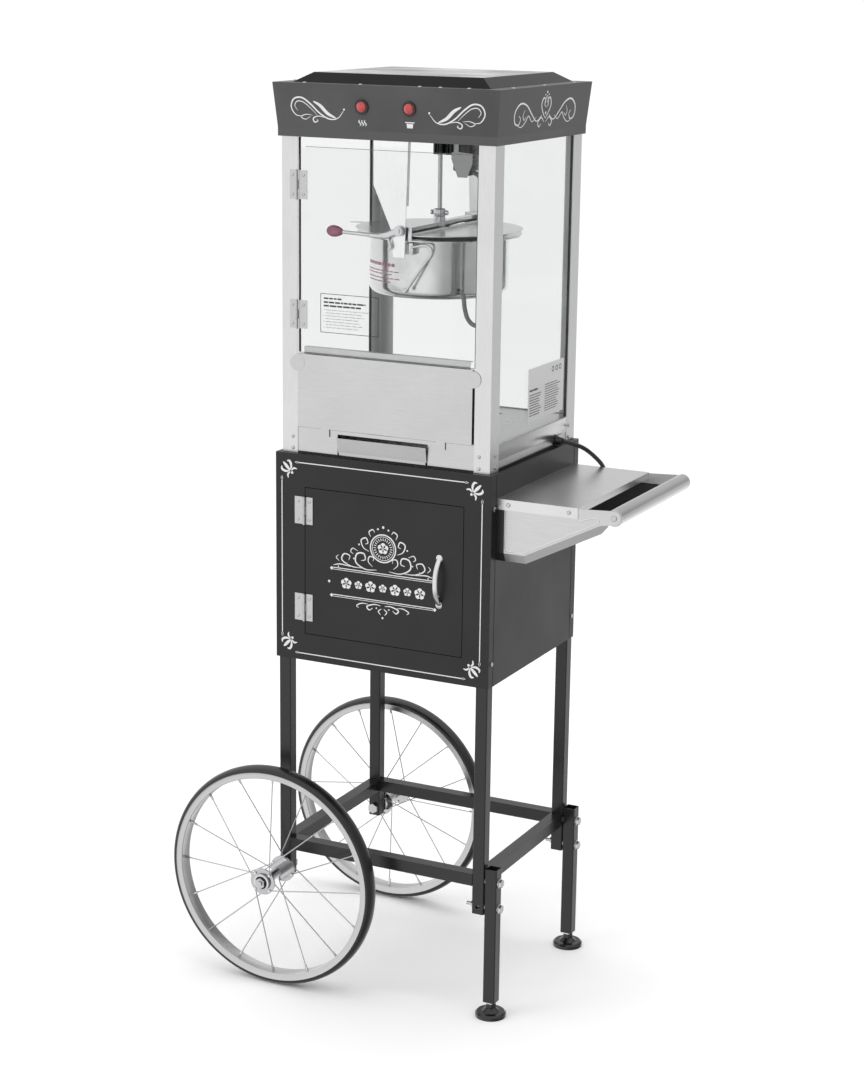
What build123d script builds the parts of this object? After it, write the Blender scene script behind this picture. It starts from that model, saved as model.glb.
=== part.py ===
"""A popcorn machine with a tilting kettle, standing on a wheeled cart with a cupboard and a side shelf.

Millimetres, +Z up, the front faces -Y. Every piece is modelled about the cupboard's middle plane, and
save() then moves it along X, so that the origin lies on the floor under the middle of the whole cart.
"""

import os
from math import cos, pi, radians, sin, sqrt, tan

from build123d import *

# Driving dimensions of the cart
TUBE = 22.0  # side of the square tubes
TUBE_WALL = 1.2
SHEET = 1.0  # cupboard sheet thickness
CUPBOARD_X = 205.0  # half width
CUPBOARD_Y = 181.6  # half depth
CUPBOARD_BOTTOM = 596.0
CUPBOARD_TOP = 962.0
LEG_BOTTOM = 188.0
LEFT_LEG_X = -189.0
RIGHT_LEG_X = 192.0
LEG_Y = CUPBOARD_Y - SHEET - TUBE / 2
RAIL_Z = 249.0

WHEEL_R = 203.0
WHEEL_Y = 225.0  # the wheels' middle planes
FLANGE_SPREAD = 35.0  # from a wheel's middle plane to a hub flange
SPOKES = 16
AXLE_R = 5.0
RUNNING_GAP = 0.05  # radial clearance of turning and sliding fits

SHELF_X = 350.0  # outer edge of the shelf plate
SHELF_FRONT = -161.0
SHELF_BACK = 157.0
SHELF_TOP = 921.0
HANDLE_X = 413.0
HANDLE_Z = 911.0
HANDLE_R = 14.0

DOOR_LEFT = -147.0
DOOR_RIGHT = 154.0
DOOR_BOTTOM = 645.0
DOOR_TOP = 904.0
GAP = 1.2  # round both doors

# Driving dimensions of the popcorn machine
CASE_X = 196.2  # half width over the corner posts
CASE_FRONT = -172.8
CASE_BACK = 178.8
STEEL = 1.2  # case sheet thickness
BASE_TOP = 1007.0
POST_TOP = 1497.0
POST_WIDTH = 29.5
POST_DEPTH = 33.8
FOLD_TOP = 1511.0
VALANCE_TOP = 1585.0
ROOF_TOP = 1601.0

KETTLE_X = 13.0  # kettle and stirrer axis
PIVOT_Z = 1349.0  # kettle tilting axis, along Y
POT_R = 120.0
POT_BOTTOM = 1232.0
POT_TOP = 1333.0
LIP_R = 141.0
HANGER_Y = 148.0  # from the middle plane to the outer face of each hanger plate
GEAR_TEETH = 12
GEAR_MODULE = 1.75
GEAR_BOTTOM = 1465.0
GEAR_TOP = 1488.0

CORD_D = 7.6
COIL_R = 42.0
COIL_TURNS = 4.25

CART_SHIFT = -((HANDLE_X + HANDLE_R) + (LEFT_LEG_X - WHEEL_R)) / 2


def block(x, y, z):
    """A box from its low and high ends along each axis."""
    spans = (x, y, z)
    size = [high - low for low, high in spans]
    middle = [(low + high) / 2 for low, high in spans]
    return Pos(*middle) * Box(*size)


def bar(start, end, radius):
    """A round bar from one point to another."""
    axis = Vector(*end) - Vector(*start)
    on_end = (Align.CENTER, Align.CENTER, Align.MIN)
    return Plane(origin=start, z_dir=axis) * Cylinder(radius, axis.length, align=on_end)


def sleeve(start, end, outer, inner):
    """A round bar with a hole along it."""
    return bar(start, end, outer) - bar(start, end, inner)


def hexagon(start, end, across):
    """A six-sided bar, measured across its flats."""
    axis = Vector(*end) - Vector(*start)
    outline = Plane(origin=start, z_dir=axis) * RegularPolygon(across / sqrt(3), 6)
    return extrude(outline, axis.length)


def plate_xz(points, y_low, y_high):
    """A flat plate square to Y, from its outline's (x, z) corners."""
    outline = Plane.XZ * make_face(Polyline(*points, close=True))
    return Pos(0, y_high, 0) * extrude(outline, y_high - y_low)


def frustum(bottom, top):
    """The solid between two level rectangles, each given as (half width, front, back, z)."""
    sections = []
    for half, front, back, z in (bottom, top):
        sections.append(Pos(0, (front + back) / 2, z) * Rectangle(2 * half, back - front))
    return loft(sections)


def at_back(shape):
    """The same piece at the other side of the plane Y = 0."""
    return mirror(shape, about=Plane.XZ)


def save(name, *shapes):
    """Write one sub-part, which may be several separate solids."""
    solids = [Pos(CART_SHIFT, 0, 0) * solid for shape in shapes for solid in shape.solids()]
    piece = solids[0] if len(solids) == 1 else Compound(solids)
    export_step(piece, f"parts/{name}.step")


# ---------------------------------------------------------------- cart frame

EXTENSION_X = RIGHT_LEG_X + TUBE / 2 + 2.0  # inner face of the leg extensions, past a 2 mm washer
EXTENSION_BOTTOM = 27.0
EXTENSION_TOP = 273.0
EXTENSION_BOLTS = (201.0, 248.0)
BOLT_R = 3.0
BOLT_HOLE_R = 3.2
SPARE_HOLE_R = 4.0


def square_tube(x, y, bottom, top):
    """An upright square tube with rounded corners, open at both ends."""
    length = top - bottom
    outer = extrude(Pos(x, y, bottom) * RectangleRounded(TUBE, TUBE, 2.0), length)
    inner_side = TUBE - 2 * TUBE_WALL
    return outer - extrude(Pos(x, y, bottom) * Rectangle(inner_side, inner_side), length)


def left_leg():
    leg = square_tube(LEFT_LEG_X, -LEG_Y, LEG_BOTTOM, CUPBOARD_TOP - SHEET)
    return leg - bar((LEFT_LEG_X, -LEG_Y - TUBE, WHEEL_R), (LEFT_LEG_X, -LEG_Y + TUBE, WHEEL_R), AXLE_R)


def right_leg():
    """The front right leg, with the bolt holes across it and a spare hole in its front wall."""
    leg = square_tube(RIGHT_LEG_X, -LEG_Y, LEG_BOTTOM, CUPBOARD_TOP - SHEET)
    for z in EXTENSION_BOLTS:
        leg -= bar((RIGHT_LEG_X - TUBE, -LEG_Y, z), (RIGHT_LEG_X + TUBE, -LEG_Y, z), BOLT_HOLE_R)
    z = EXTENSION_BOLTS[0]
    return leg - bar((RIGHT_LEG_X, -LEG_Y - TUBE, z), (RIGHT_LEG_X, -LEG_Y - TUBE / 4, z), SPARE_HOLE_R)


def cross_rail():
    """The front rail, butted against both front legs."""
    outer = TUBE / 2
    inner = outer - TUBE_WALL
    rail = block((LEFT_LEG_X + outer, RIGHT_LEG_X - outer), (-LEG_Y - outer, -LEG_Y + outer),
                 (RAIL_Z - outer, RAIL_Z + outer))
    return rail - block((LEFT_LEG_X, RIGHT_LEG_X), (-LEG_Y - inner, -LEG_Y + inner),
                        (RAIL_Z - inner, RAIL_Z + inner))


def side_rail(x):
    """A rail along one side, butted against a front and a rear leg."""
    end = LEG_Y - TUBE / 2
    rail = block((x - TUBE / 2, x + TUBE / 2), (-end, end), (RAIL_Z - TUBE / 2, RAIL_Z + TUBE / 2))
    inner = TUBE / 2 - TUBE_WALL
    return rail - block((x - inner, x + inner), (-end, end), (RAIL_Z - inner, RAIL_Z + inner))


def leg_extension():
    """The lower tube bolted outside a right leg, with a threaded plug in its foot."""
    x = EXTENSION_X + TUBE / 2
    tube = square_tube(x, -LEG_Y, EXTENSION_BOTTOM, EXTENSION_TOP)
    for z in EXTENSION_BOLTS:
        tube -= bar((x - TUBE, -LEG_Y, z), (x + TUBE, -LEG_Y, z), BOLT_HOLE_R)
    return tube


FOOT_X = EXTENSION_X + TUBE / 2
FOOT_STUD_R = 5.0


def leg_plug():
    """The plug that takes a levelling foot's stud."""
    half = TUBE / 2 - TUBE_WALL
    plug = block((FOOT_X - half, FOOT_X + half), (-LEG_Y - half, -LEG_Y + half),
                 (EXTENSION_BOTTOM, EXTENSION_BOTTOM + 22))
    hole = bar((FOOT_X, -LEG_Y, EXTENSION_BOTTOM - 1), (FOOT_X, -LEG_Y, EXTENSION_BOTTOM + 23),
               FOOT_STUD_R + RUNNING_GAP)
    return plug - hole


def foot():
    """A levelling foot: round disc, coned top, hexagon and stud."""
    disc = bar((FOOT_X, -LEG_Y, 0), (FOOT_X, -LEG_Y, 9), 27)
    disc = chamfer(disc.edges().group_by(Axis.Z)[-1], 3)
    cone = Pos(FOOT_X, -LEG_Y, 12.5) * Cone(16, 8, 7)
    nut = hexagon((FOOT_X, -LEG_Y, 16), (FOOT_X, -LEG_Y, EXTENSION_BOTTOM), 17)
    stud = bar((FOOT_X, -LEG_Y, EXTENSION_BOTTOM - 1), (FOOT_X, -LEG_Y, EXTENSION_BOTTOM + 45), FOOT_STUD_R)
    return disc + cone + nut + stud


def extension_bolt(z):
    """A bolt through a leg and its extension, its nut, and the washer between the tubes."""
    inside = RIGHT_LEG_X - TUBE / 2
    outside = EXTENSION_X + TUBE
    lower = z == min(EXTENSION_BOLTS)
    end = inside - 14 if lower else inside + TUBE_WALL + 5.5
    bolt = bar((end, -LEG_Y, z), (outside, -LEG_Y, z), BOLT_R)
    bolt += bar((outside, -LEG_Y, z), (outside + 1.5, -LEG_Y, z), 8.5)
    bolt += hexagon((outside + 1.5, -LEG_Y, z), (outside + 6.5, -LEG_Y, z), 13)
    nut_start = inside - 5 if lower else inside + TUBE_WALL
    nut = hexagon((nut_start, -LEG_Y, z), (nut_start + 5, -LEG_Y, z), 10)
    nut -= bar((nut_start, -LEG_Y, z), (nut_start + 5, -LEG_Y, z), BOLT_R)
    washer = sleeve((RIGHT_LEG_X + TUBE / 2, -LEG_Y, z), (EXTENSION_X, -LEG_Y, z), 8, BOLT_HOLE_R)
    return [bolt, nut, washer]


def axle():
    """An axle bolt with its head inside the leg, the spacer next to the leg, and the outer nut."""
    x = LEFT_LEG_X
    leg_outside = LEG_Y + TUBE / 2
    hub_end = WHEEL_Y + FLANGE_SPREAD + 4
    bolt = bar((x, -(LEG_Y - TUBE / 2), WHEEL_R), (x, -(hub_end + 11), WHEEL_R), AXLE_R)
    bolt += hexagon((x, -(LEG_Y - TUBE / 2 - 7), WHEEL_R), (x, -(LEG_Y - TUBE / 2), WHEEL_R), 17)
    spacer = sleeve((x, -leg_outside, WHEEL_R), (x, -(WHEEL_Y - FLANGE_SPREAD - 4.3), WHEEL_R), 8, AXLE_R)
    nut = hexagon((x, -(hub_end + 0.3), WHEEL_R), (x, -(hub_end + 8), WHEEL_R), 17)
    nut -= bar((x, -(hub_end + 0.3), WHEEL_R), (x, -(hub_end + 8), WHEEL_R), AXLE_R)
    return [bolt, spacer, nut]


def make_frame():
    save("front_left_leg", left_leg())
    save("rear_left_leg", at_back(left_leg()))
    save("front_right_leg", right_leg())
    save("rear_right_leg", at_back(right_leg()))
    save("cross_rails", cross_rail(), at_back(cross_rail()))
    save("side_rails", side_rail(LEFT_LEG_X), side_rail(RIGHT_LEG_X))
    lower_leg = [leg_extension(), leg_plug()]
    save("leg_extensions", *lower_leg, *[at_back(piece) for piece in lower_leg])
    save("front_foot", foot())
    save("rear_foot", at_back(foot()))
    fasteners = [piece for z in EXTENSION_BOLTS for piece in extension_bolt(z)] + axle()
    save("frame_bolts", *fasteners, *[at_back(piece) for piece in fasteners])


# ---------------------------------------------------------------- wheels

RIM_R = 182.0
RIM_SEAT_R = 184.0
RIM_EDGE_R = 195.0
RIM_HALF = 14.0
TYRE_HALF = 15.0
HUB_FLANGE_R = 24.0
SPOKE_CIRCLE_R = 20.0
SPOKE_R = 1.0


def wheel_place():
    """Puts a wheel made about +Z on the front axle, with its +Z towards the outside."""
    return Pos(LEFT_LEG_X, -WHEEL_Y, WHEEL_R) * Rot(90, 0, 0)


def turned(*edges):
    """A solid of revolution about Z, from its half section's edges in the XZ plane."""
    return revolve(make_face(Plane.XZ * Curve(list(edges))), Axis.Z)


def tyre():
    seat = RIM_HALF - 2
    outline = Polyline((RIM_EDGE_R, TYRE_HALF), (RIM_EDGE_R, seat), (RIM_SEAT_R, seat),
                       (RIM_SEAT_R, -seat), (RIM_EDGE_R, -seat), (RIM_EDGE_R, -TYRE_HALF))
    crown = ThreePointArc((RIM_EDGE_R, -TYRE_HALF), (WHEEL_R, 0), (RIM_EDGE_R, TYRE_HALF))
    return turned(outline, crown)


def rim():
    seat = RIM_HALF - 2
    section = [(RIM_R, -RIM_HALF), (RIM_EDGE_R, -RIM_HALF), (RIM_EDGE_R, -seat), (RIM_SEAT_R, -seat),
               (RIM_SEAT_R, seat), (RIM_EDGE_R, seat), (RIM_EDGE_R, RIM_HALF), (RIM_R, RIM_HALF)]
    return turned(Polyline(*section, close=True))


def hub():
    """The hub shell: thin barrel, two spoke flanges and two end bosses."""
    end = FLANGE_SPREAD + 4
    shell = bar((0, 0, -end), (0, 0, end), 9)
    for side in (-1, 1):
        middle = side * FLANGE_SPREAD
        shell += bar((0, 0, middle - 1.5), (0, 0, middle + 1.5), HUB_FLANGE_R)
        shell += bar((0, 0, middle), (0, 0, side * end), 14)
    return shell - bar((0, 0, -end), (0, 0, end), AXLE_R + RUNNING_GAP)


def spoke(number):
    """One wire spoke: even ones from the outer flange, odd ones from the inner, each crossing one other."""
    side = 1 if number % 2 == 0 else -1
    leads = number // 2 % 2 == 0
    step = 2 * pi / SPOKES
    rim_angle = number * step
    hub_angle = rim_angle - 2 * step if leads else rim_angle + 2 * step
    head = side * FLANGE_SPREAD + (2.6 if leads else -2.6)
    start = (SPOKE_CIRCLE_R * cos(hub_angle), SPOKE_CIRCLE_R * sin(hub_angle), head)
    end = (RIM_R * cos(rim_angle), RIM_R * sin(rim_angle), 0)
    return bar(start, end, SPOKE_R)


def make_wheels():
    spokes = [spoke(number) for number in range(SPOKES)]
    for name, side in (("front", lambda shape: shape), ("rear", at_back)):
        save(f"{name}_wheel_tyre", side(wheel_place() * tyre()))
        save(f"{name}_wheel_rim", side(wheel_place() * rim()))
        save(f"{name}_wheel_hub", *[side(wheel_place() * piece) for piece in (hub(), *spokes)])


# ---------------------------------------------------------------- hinges

HINGE_HEIGHT = 48.0
LEAF = 1.2
KNUCKLE_R = 2.6
PIN_R = 1.3


def hinge(x, face_y, bottom, fixed_reach, moving_reach):
    """A butt hinge on a front face: the fixed leaf with the pin on the left, the moving leaf on the right."""
    y = face_y - KNUCKLE_R - 0.4
    top = bottom + HINGE_HEIGHT
    third = HINGE_HEIGHT / 3
    pin = bar((x, y, bottom - 1), (x, y, top + 1), PIN_R)
    fixed = block((x - fixed_reach, x), (face_y - LEAF, face_y), (bottom, top))
    fixed += block((x - KNUCKLE_R, x), (y, face_y), (bottom, top))
    fixed -= block((x - KNUCKLE_R - 0.5, x + 1), (y - 5, face_y + 1), (bottom + third, top - third))
    fixed += bar((x, y, bottom), (x, y, bottom + third), KNUCKLE_R)
    fixed += bar((x, y, top - third), (x, y, top), KNUCKLE_R)
    fixed -= pin
    moving = block((x + KNUCKLE_R + 0.3, x + moving_reach), (face_y - LEAF, face_y), (bottom, top))
    centre = (bottom + third + 0.3, top - third - 0.3)
    moving += block((x, x + KNUCKLE_R + 0.4), (face_y - LEAF, face_y), centre)
    moving += block((x, x + KNUCKLE_R), (y, face_y - LEAF), centre)
    moving += bar((x, y, centre[0]), (x, y, centre[1]), KNUCKLE_R)
    moving -= bar((x, y, bottom), (x, y, top), PIN_R + RUNNING_GAP)
    return [fixed, pin], moving


# ---------------------------------------------------------------- cupboard

CUPBOARD_HINGES = (668.0, 840.0)
WRAP = 19.0  # how far the front and back panels turn round the corners
CUPBOARD_HINGE_X = -148.2


def corner_panel():
    """The front panel: a sheet with both side edges turned back round the corners."""
    height = (CUPBOARD_BOTTOM, CUPBOARD_TOP)
    outer = block((-CUPBOARD_X, CUPBOARD_X), (-CUPBOARD_Y, -CUPBOARD_Y + WRAP), height)
    inside = CUPBOARD_X - SHEET
    return outer - block((-inside, inside), (-CUPBOARD_Y + SHEET, 0), height)


def cupboard_front():
    opening = block((DOOR_LEFT - GAP, DOOR_RIGHT + GAP), (-CUPBOARD_Y - 1, -CUPBOARD_Y + SHEET + 1),
                    (DOOR_BOTTOM - GAP, DOOR_TOP + GAP))
    return corner_panel() - opening


def side_panel():
    end = CUPBOARD_Y - WRAP
    return block((CUPBOARD_X - SHEET, CUPBOARD_X), (-end, end), (CUPBOARD_BOTTOM, CUPBOARD_TOP))


def cupboard_floor():
    """The floor sheet, notched for the four legs."""
    half_x = CUPBOARD_X - SHEET
    half_y = CUPBOARD_Y - SHEET
    height = (CUPBOARD_BOTTOM, CUPBOARD_BOTTOM + SHEET)
    panel = block((-half_x, half_x), (-half_y, half_y), height)
    for x in (LEFT_LEG_X, RIGHT_LEG_X):
        for y in (-LEG_Y, LEG_Y):
            reach = TUBE / 2 + 0.2
            panel -= block((x - reach, x + reach), (y - reach, y + reach), height)
    return panel


def cupboard_top():
    half_x = CUPBOARD_X - SHEET
    half_y = CUPBOARD_Y - SHEET
    return block((-half_x, half_x), (-half_y, half_y), (CUPBOARD_TOP - SHEET, CUPBOARD_TOP))


def cupboard_door():
    """The door: a flat sheet with its edges turned in all round."""
    depth = 12.0
    outer = block((DOOR_LEFT, DOOR_RIGHT), (-CUPBOARD_Y, -CUPBOARD_Y + depth), (DOOR_BOTTOM, DOOR_TOP))
    inner = block((DOOR_LEFT + SHEET, DOOR_RIGHT - SHEET), (-CUPBOARD_Y + SHEET, -CUPBOARD_Y + depth + 1),
                  (DOOR_BOTTOM + SHEET, DOOR_TOP - SHEET))
    return outer - inner


def cupboard_handle():
    """The bow handle: a flat strip bent to an arch."""
    x, width, reach, thick, foot = 111.0, 9.0, 20.0, 3.0, 5.0
    bottom, top = 727.0, 815.0
    middle = (bottom + top) / 2
    face = -CUPBOARD_Y
    outer = ThreePointArc((face, bottom), (face - reach, middle), (face, top))
    inner = ThreePointArc((face, top - foot), (face - reach + thick, middle), (face, bottom + foot))
    edges = [outer, Line((face, top), (face, top - foot)), inner, Line((face, bottom + foot), (face, bottom))]
    outline = Plane.YZ * make_face(Curve(edges))
    return Pos(x - width / 2, 0, 0) * extrude(outline, width)


def make_cupboard():
    save("cupboard_front", cupboard_front())
    save("cupboard_back", at_back(corner_panel()))
    save("cupboard_sides", side_panel(), mirror(side_panel(), about=Plane.YZ))
    save("cupboard_top", cupboard_top())
    save("cupboard_floor", cupboard_floor())
    save("cupboard_door", cupboard_door())
    save("cupboard_handle", cupboard_handle())


# ---------------------------------------------------------------- side shelf

SHELF_LIP = 18.0
OUTER_LIP = 11.0
BRACKET_LOW = 829.0  # lower edge of the bracket's web beside the cupboard
BRACKET_HEEL_X = 256.0  # where that edge starts to rise
BRACKET_NOSE = (389.0, 896.0)  # where it has nearly reached the handle
BRACKET_TIP = (403.0, 898.0)
BRACKET_EYE_R = 12.0  # round end that holds the handle
LIP_DROP = 15.0  # the bracket's slanted lip
LIP_SLANT = 7.0 / LIP_DROP


def shelf_plate():
    """The shelf: a flat plate with its front, back and outer edges turned down; the outer lip fits between
    the brackets."""
    underside = SHELF_TOP - STEEL
    plate = block((CUPBOARD_X, SHELF_X), (SHELF_FRONT, SHELF_BACK), (underside, SHELF_TOP))
    for lip in ((SHELF_FRONT, SHELF_FRONT + STEEL), (SHELF_BACK - STEEL, SHELF_BACK)):
        plate += block((CUPBOARD_X, SHELF_X), lip, (SHELF_TOP - SHELF_LIP, underside))
    between = (SHELF_FRONT + 2 * STEEL, SHELF_BACK - 2 * STEEL)
    return plate + block((SHELF_X - STEEL, SHELF_X), between, (SHELF_TOP - OUTER_LIP, underside))


def lip_section(x, z, drop):
    """The bracket's lip cut square to X: it hangs from height z and slants inwards."""
    outer = SHELF_FRONT + STEEL
    slant = LIP_SLANT * drop
    corners = [(outer, z), (outer + STEEL, z), (outer + STEEL + slant, z - drop), (outer + slant, z - drop)]
    return Plane.YZ.offset(x) * make_face(Polyline(*corners, close=True))


def shelf_bracket():
    """The front bracket: a web that runs out to the handle, a lip along its lower edge, and a wall flange."""
    outer = SHELF_FRONT + STEEL
    underside = SHELF_TOP - STEEL
    web = [(CUPBOARD_X, underside), (CUPBOARD_X, BRACKET_LOW), (BRACKET_HEEL_X, BRACKET_LOW), BRACKET_NOSE,
           BRACKET_TIP, (HANDLE_X, HANDLE_Z - BRACKET_EYE_R), (HANDLE_X, HANDLE_Z + BRACKET_EYE_R),
           (SHELF_X + 4, underside)]
    bracket = plate_xz(web, outer, outer + STEEL)
    bracket += bar((HANDLE_X, outer, HANDLE_Z), (HANDLE_X, outer + STEEL, HANDLE_Z), BRACKET_EYE_R)
    bracket += block((CUPBOARD_X, CUPBOARD_X + STEEL), (outer, outer + 20), (BRACKET_LOW, underside))
    stations = [(CUPBOARD_X, BRACKET_LOW, LIP_DROP), (BRACKET_HEEL_X, BRACKET_LOW, LIP_DROP),
                (*BRACKET_NOSE, LIP_DROP), (*BRACKET_TIP, 2.0)]
    for start, end in zip(stations, stations[1:]):
        bracket += loft([lip_section(*start), lip_section(*end)])
    return bracket


def push_handle():
    """The tubular handle with a plug in each end and a screw through each bracket."""
    front = SHELF_FRONT + 2 * STEEL
    back = SHELF_BACK - 2 * STEEL
    tube = sleeve((HANDLE_X, front, HANDLE_Z), (HANDLE_X, back, HANDLE_Z), HANDLE_R, HANDLE_R - 1.5)
    plugs = [bar((HANDLE_X, front, HANDLE_Z), (HANDLE_X, front + 12, HANDLE_Z), HANDLE_R - 1.5),
             bar((HANDLE_X, back - 12, HANDLE_Z), (HANDLE_X, back, HANDLE_Z), HANDLE_R - 1.5)]
    return [tube, *plugs]


def make_shelf():
    save("shelf_plate", shelf_plate())
    middle = (SHELF_FRONT + SHELF_BACK) / 2
    back_bracket = mirror(shelf_bracket(), about=Plane.XZ.offset(-middle))
    save("shelf_brackets", shelf_bracket(), back_bracket)
    save("push_handle", *push_handle())


# ---------------------------------------------------------------- popcorn machine case

BASE_X = CASE_X - STEEL
BASE_FRONT = CASE_FRONT + STEEL
BASE_BACK = CASE_BACK - STEEL
DRAWER_LEFT = -86.0
DRAWER_RIGHT = 78.0
DRAWER_BOTTOM = 966.0
DRAWER_TOP = 990.0
DRAWER_FRONT_TOP = 996.0
DRAWER_OPENING_TOP = 1001.0
FLOOR_Z = 1004.0
PANE = 3.0
BUSH_Y = 100.0
BUSH_Z = 972.0
BUSH_HOLE_R = 7.0


def machine_base():
    """The base tray with the drawer's opening in front and the cord's hole in the right side."""
    outer = block((-BASE_X, BASE_X), (BASE_FRONT, BASE_BACK), (CUPBOARD_TOP, BASE_TOP))
    tray = outer - block((-BASE_X + STEEL, BASE_X - STEEL), (BASE_FRONT + STEEL, BASE_BACK - STEEL),
                         (CUPBOARD_TOP + STEEL, BASE_TOP + 1))
    tray -= block((DRAWER_LEFT - 4, DRAWER_RIGHT + 3), (BASE_FRONT - 1, BASE_FRONT + STEEL + 1),
                  (DRAWER_BOTTOM - 1, DRAWER_OPENING_TOP))
    return tray - bar((BASE_X - 5, BUSH_Y, BUSH_Z), (BASE_X + 5, BUSH_Y, BUSH_Z), BUSH_HOLE_R)


def popcorn_floor():
    """The sieve sheet that popcorn rests on, with rows of round-ended slots over the drawer."""
    sheet = block((-BASE_X + 5, BASE_X - 5), (BASE_FRONT + 3, BASE_BACK - 3), (FLOOR_Z, FLOOR_Z + 1))
    slots = [Pos(x, y) * SlotOverall(30, 8) for x in range(-72, 73, 36) for y in range(-120, 121, 30)]
    return sheet - extrude(Pos(-4, 0, FLOOR_Z - 1) * Sketch(slots), 3)


def corner_post(side, front):
    """An angle post: side is -1 for left and 1 for right."""
    x_outer = side * CASE_X
    face = (CASE_FRONT, CASE_FRONT + POST_DEPTH) if front else (CASE_BACK - POST_DEPTH, CASE_BACK)
    corner = block(sorted((x_outer, x_outer - side * POST_WIDTH)), face, (CUPBOARD_TOP + 0.3, POST_TOP))
    inner_y = (CASE_FRONT + STEEL, CASE_BACK) if front else (CASE_FRONT, CASE_BACK - STEEL)
    return corner - block(sorted((x_outer - side * STEEL, 0)), inner_y, (CUPBOARD_TOP, POST_TOP + 1))


def side_window():
    outer = BASE_X - STEEL - 0.2
    return block((outer - PANE, outer), (BASE_FRONT + 1.6, BASE_BACK - PANE - 2), (1000.0, POST_TOP - 1))


def rear_window():
    outer = BASE_BACK - STEEL - 0.2
    half = BASE_X - STEEL - PANE - 1.4
    return block((-half, half), (outer - PANE, outer), (FLOOR_Z + 1.3, POST_TOP - 1))


def door_rail():
    """The angle across the front that the door closes against, with a foot at each end behind the posts."""
    half, front, bottom, top = 156.0, -168.8, 1122.0, 1146.0
    rail = block((-half, half), (front, front + 10.8), (bottom, top))
    rail -= block((-half - 1, half + 1), (front + STEEL, front + 20), (bottom - 1, top - STEEL))
    for side in (-1, 1):
        span = sorted((side * (half - 6), side * 175))
        rail += block(span, (CASE_FRONT + STEEL, front + STEEL), (bottom, bottom + 12))
    return rail


OVERHANG_FOLD = 4.8
OVERHANG_TOP = 11.5
BUTTONS = (-41.0, 45.5)
BUTTON_Z = 1550.0
VALANCE_LEAN = (OVERHANG_TOP - OVERHANG_FOLD) / (VALANCE_TOP - FOLD_TOP)


def valance_section(overhang, z):
    return CASE_X + overhang, CASE_FRONT - overhang, CASE_BACK + overhang, z


def button_face():
    """The plane of the valance's front at the buttons' height, with Z outwards: place it along X."""
    y = CASE_FRONT - OVERHANG_FOLD - (BUTTON_Z - FOLD_TOP) * VALANCE_LEAN
    return Plane(origin=(0, y, BUTTON_Z), x_dir=(1, 0, 0), z_dir=(0, -1, -VALANCE_LEAN))


def valance():
    """The flared top band with an inward flange that carries the roof cover."""
    band = frustum(valance_section(OVERHANG_FOLD, POST_TOP), valance_section(OVERHANG_FOLD, FOLD_TOP))
    band += frustum(valance_section(OVERHANG_FOLD, FOLD_TOP), valance_section(OVERHANG_TOP, VALANCE_TOP))
    inner_fold = valance_section(OVERHANG_FOLD - STEEL, FOLD_TOP)
    band -= frustum(valance_section(OVERHANG_FOLD - STEEL, POST_TOP), inner_fold)
    band -= frustum(inner_fold, valance_section(OVERHANG_TOP - STEEL, VALANCE_TOP - STEEL))
    band -= block((-172, 172), (CASE_FRONT + 25, CASE_BACK - 25), (VALANCE_TOP - 10, VALANCE_TOP + 1))
    for x in BUTTONS:
        band -= button_face() * Pos(x, 0, 0) * Cylinder(10, 8)
    return band


def ceiling_plate():
    plate = block((-199.6, 199.6), (CASE_FRONT - 3.4, CASE_BACK + 3.4), (POST_TOP + 0.2, POST_TOP + 1.4))
    return plate - bar((KETTLE_X + GEAR_CENTRES, 0, POST_TOP), (KETTLE_X + GEAR_CENTRES, 0, POST_TOP + 2), 5)


def roof_cover():
    """The low hipped cover, hollow underneath."""
    low = (181, CASE_FRONT + 10, CASE_BACK - 10, VALANCE_TOP)
    high = (155, CASE_FRONT + 36, CASE_BACK - 36, ROOF_TOP)
    inner_low = (179, CASE_FRONT + 12, CASE_BACK - 12, VALANCE_TOP)
    inner_high = (153, CASE_FRONT + 38, CASE_BACK - 38, ROOF_TOP - 2)
    return frustum(low, high) - frustum(inner_low, inner_high)


def stub(radius, low, high):
    """An upright cylinder between two heights."""
    return Pos(0, 0, low) * Cylinder(radius, high - low, align=(Align.CENTER, Align.CENTER, Align.MIN))


BUTTON_R = 8.4


def button_bezel(x):
    """The black ring round a button, its barrel through the valance, and the closed switch body behind."""
    bezel = stub(12, 0, 2.5) + stub(9.9, -24, 0) - stub(BUTTON_R + RUNNING_GAP, -14, 6)
    return button_face() * Pos(x, 0, 0) * bezel


def button(x):
    """A domed push button that stands 6 mm proud."""
    rim, rise = 3.5, 2.5
    dome_r = (BUTTON_R**2 + rise**2) / (2 * rise)
    dome = Pos(0, 0, rim + rise - dome_r) * Sphere(dome_r)
    return button_face() * Pos(x, 0, 0) * (stub(BUTTON_R, -10, rim) + (dome & stub(BUTTON_R, rim, rim + 6)))


def make_case():
    save("machine_base", machine_base())
    save("popcorn_floor", popcorn_floor())
    save("corner_posts", *[corner_post(side, front) for side in (-1, 1) for front in (True, False)])
    save("side_windows", side_window(), mirror(side_window(), about=Plane.YZ))
    save("rear_window", rear_window())
    save("door_rail", door_rail())
    save("valance", valance())
    save("ceiling_plate", ceiling_plate())
    save("roof_cover", roof_cover())
    save("button_bezels", *[button_bezel(x) for x in BUTTONS])
    save("warm_button", button(BUTTONS[0]))
    save("kettle_button", button(BUTTONS[1]))


# ---------------------------------------------------------------- door, baffle and crumb drawer

PANE_BOTTOM = 1136.0
PANE_TOP = 1481.0
MACHINE_HINGES = (1177.0, 1394.0)
OPENING_X = CASE_X - POST_WIDTH  # half width between the front posts
MACHINE_HINGE_X = -OPENING_X
BAFFLE_TOP = 1134.0


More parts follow.
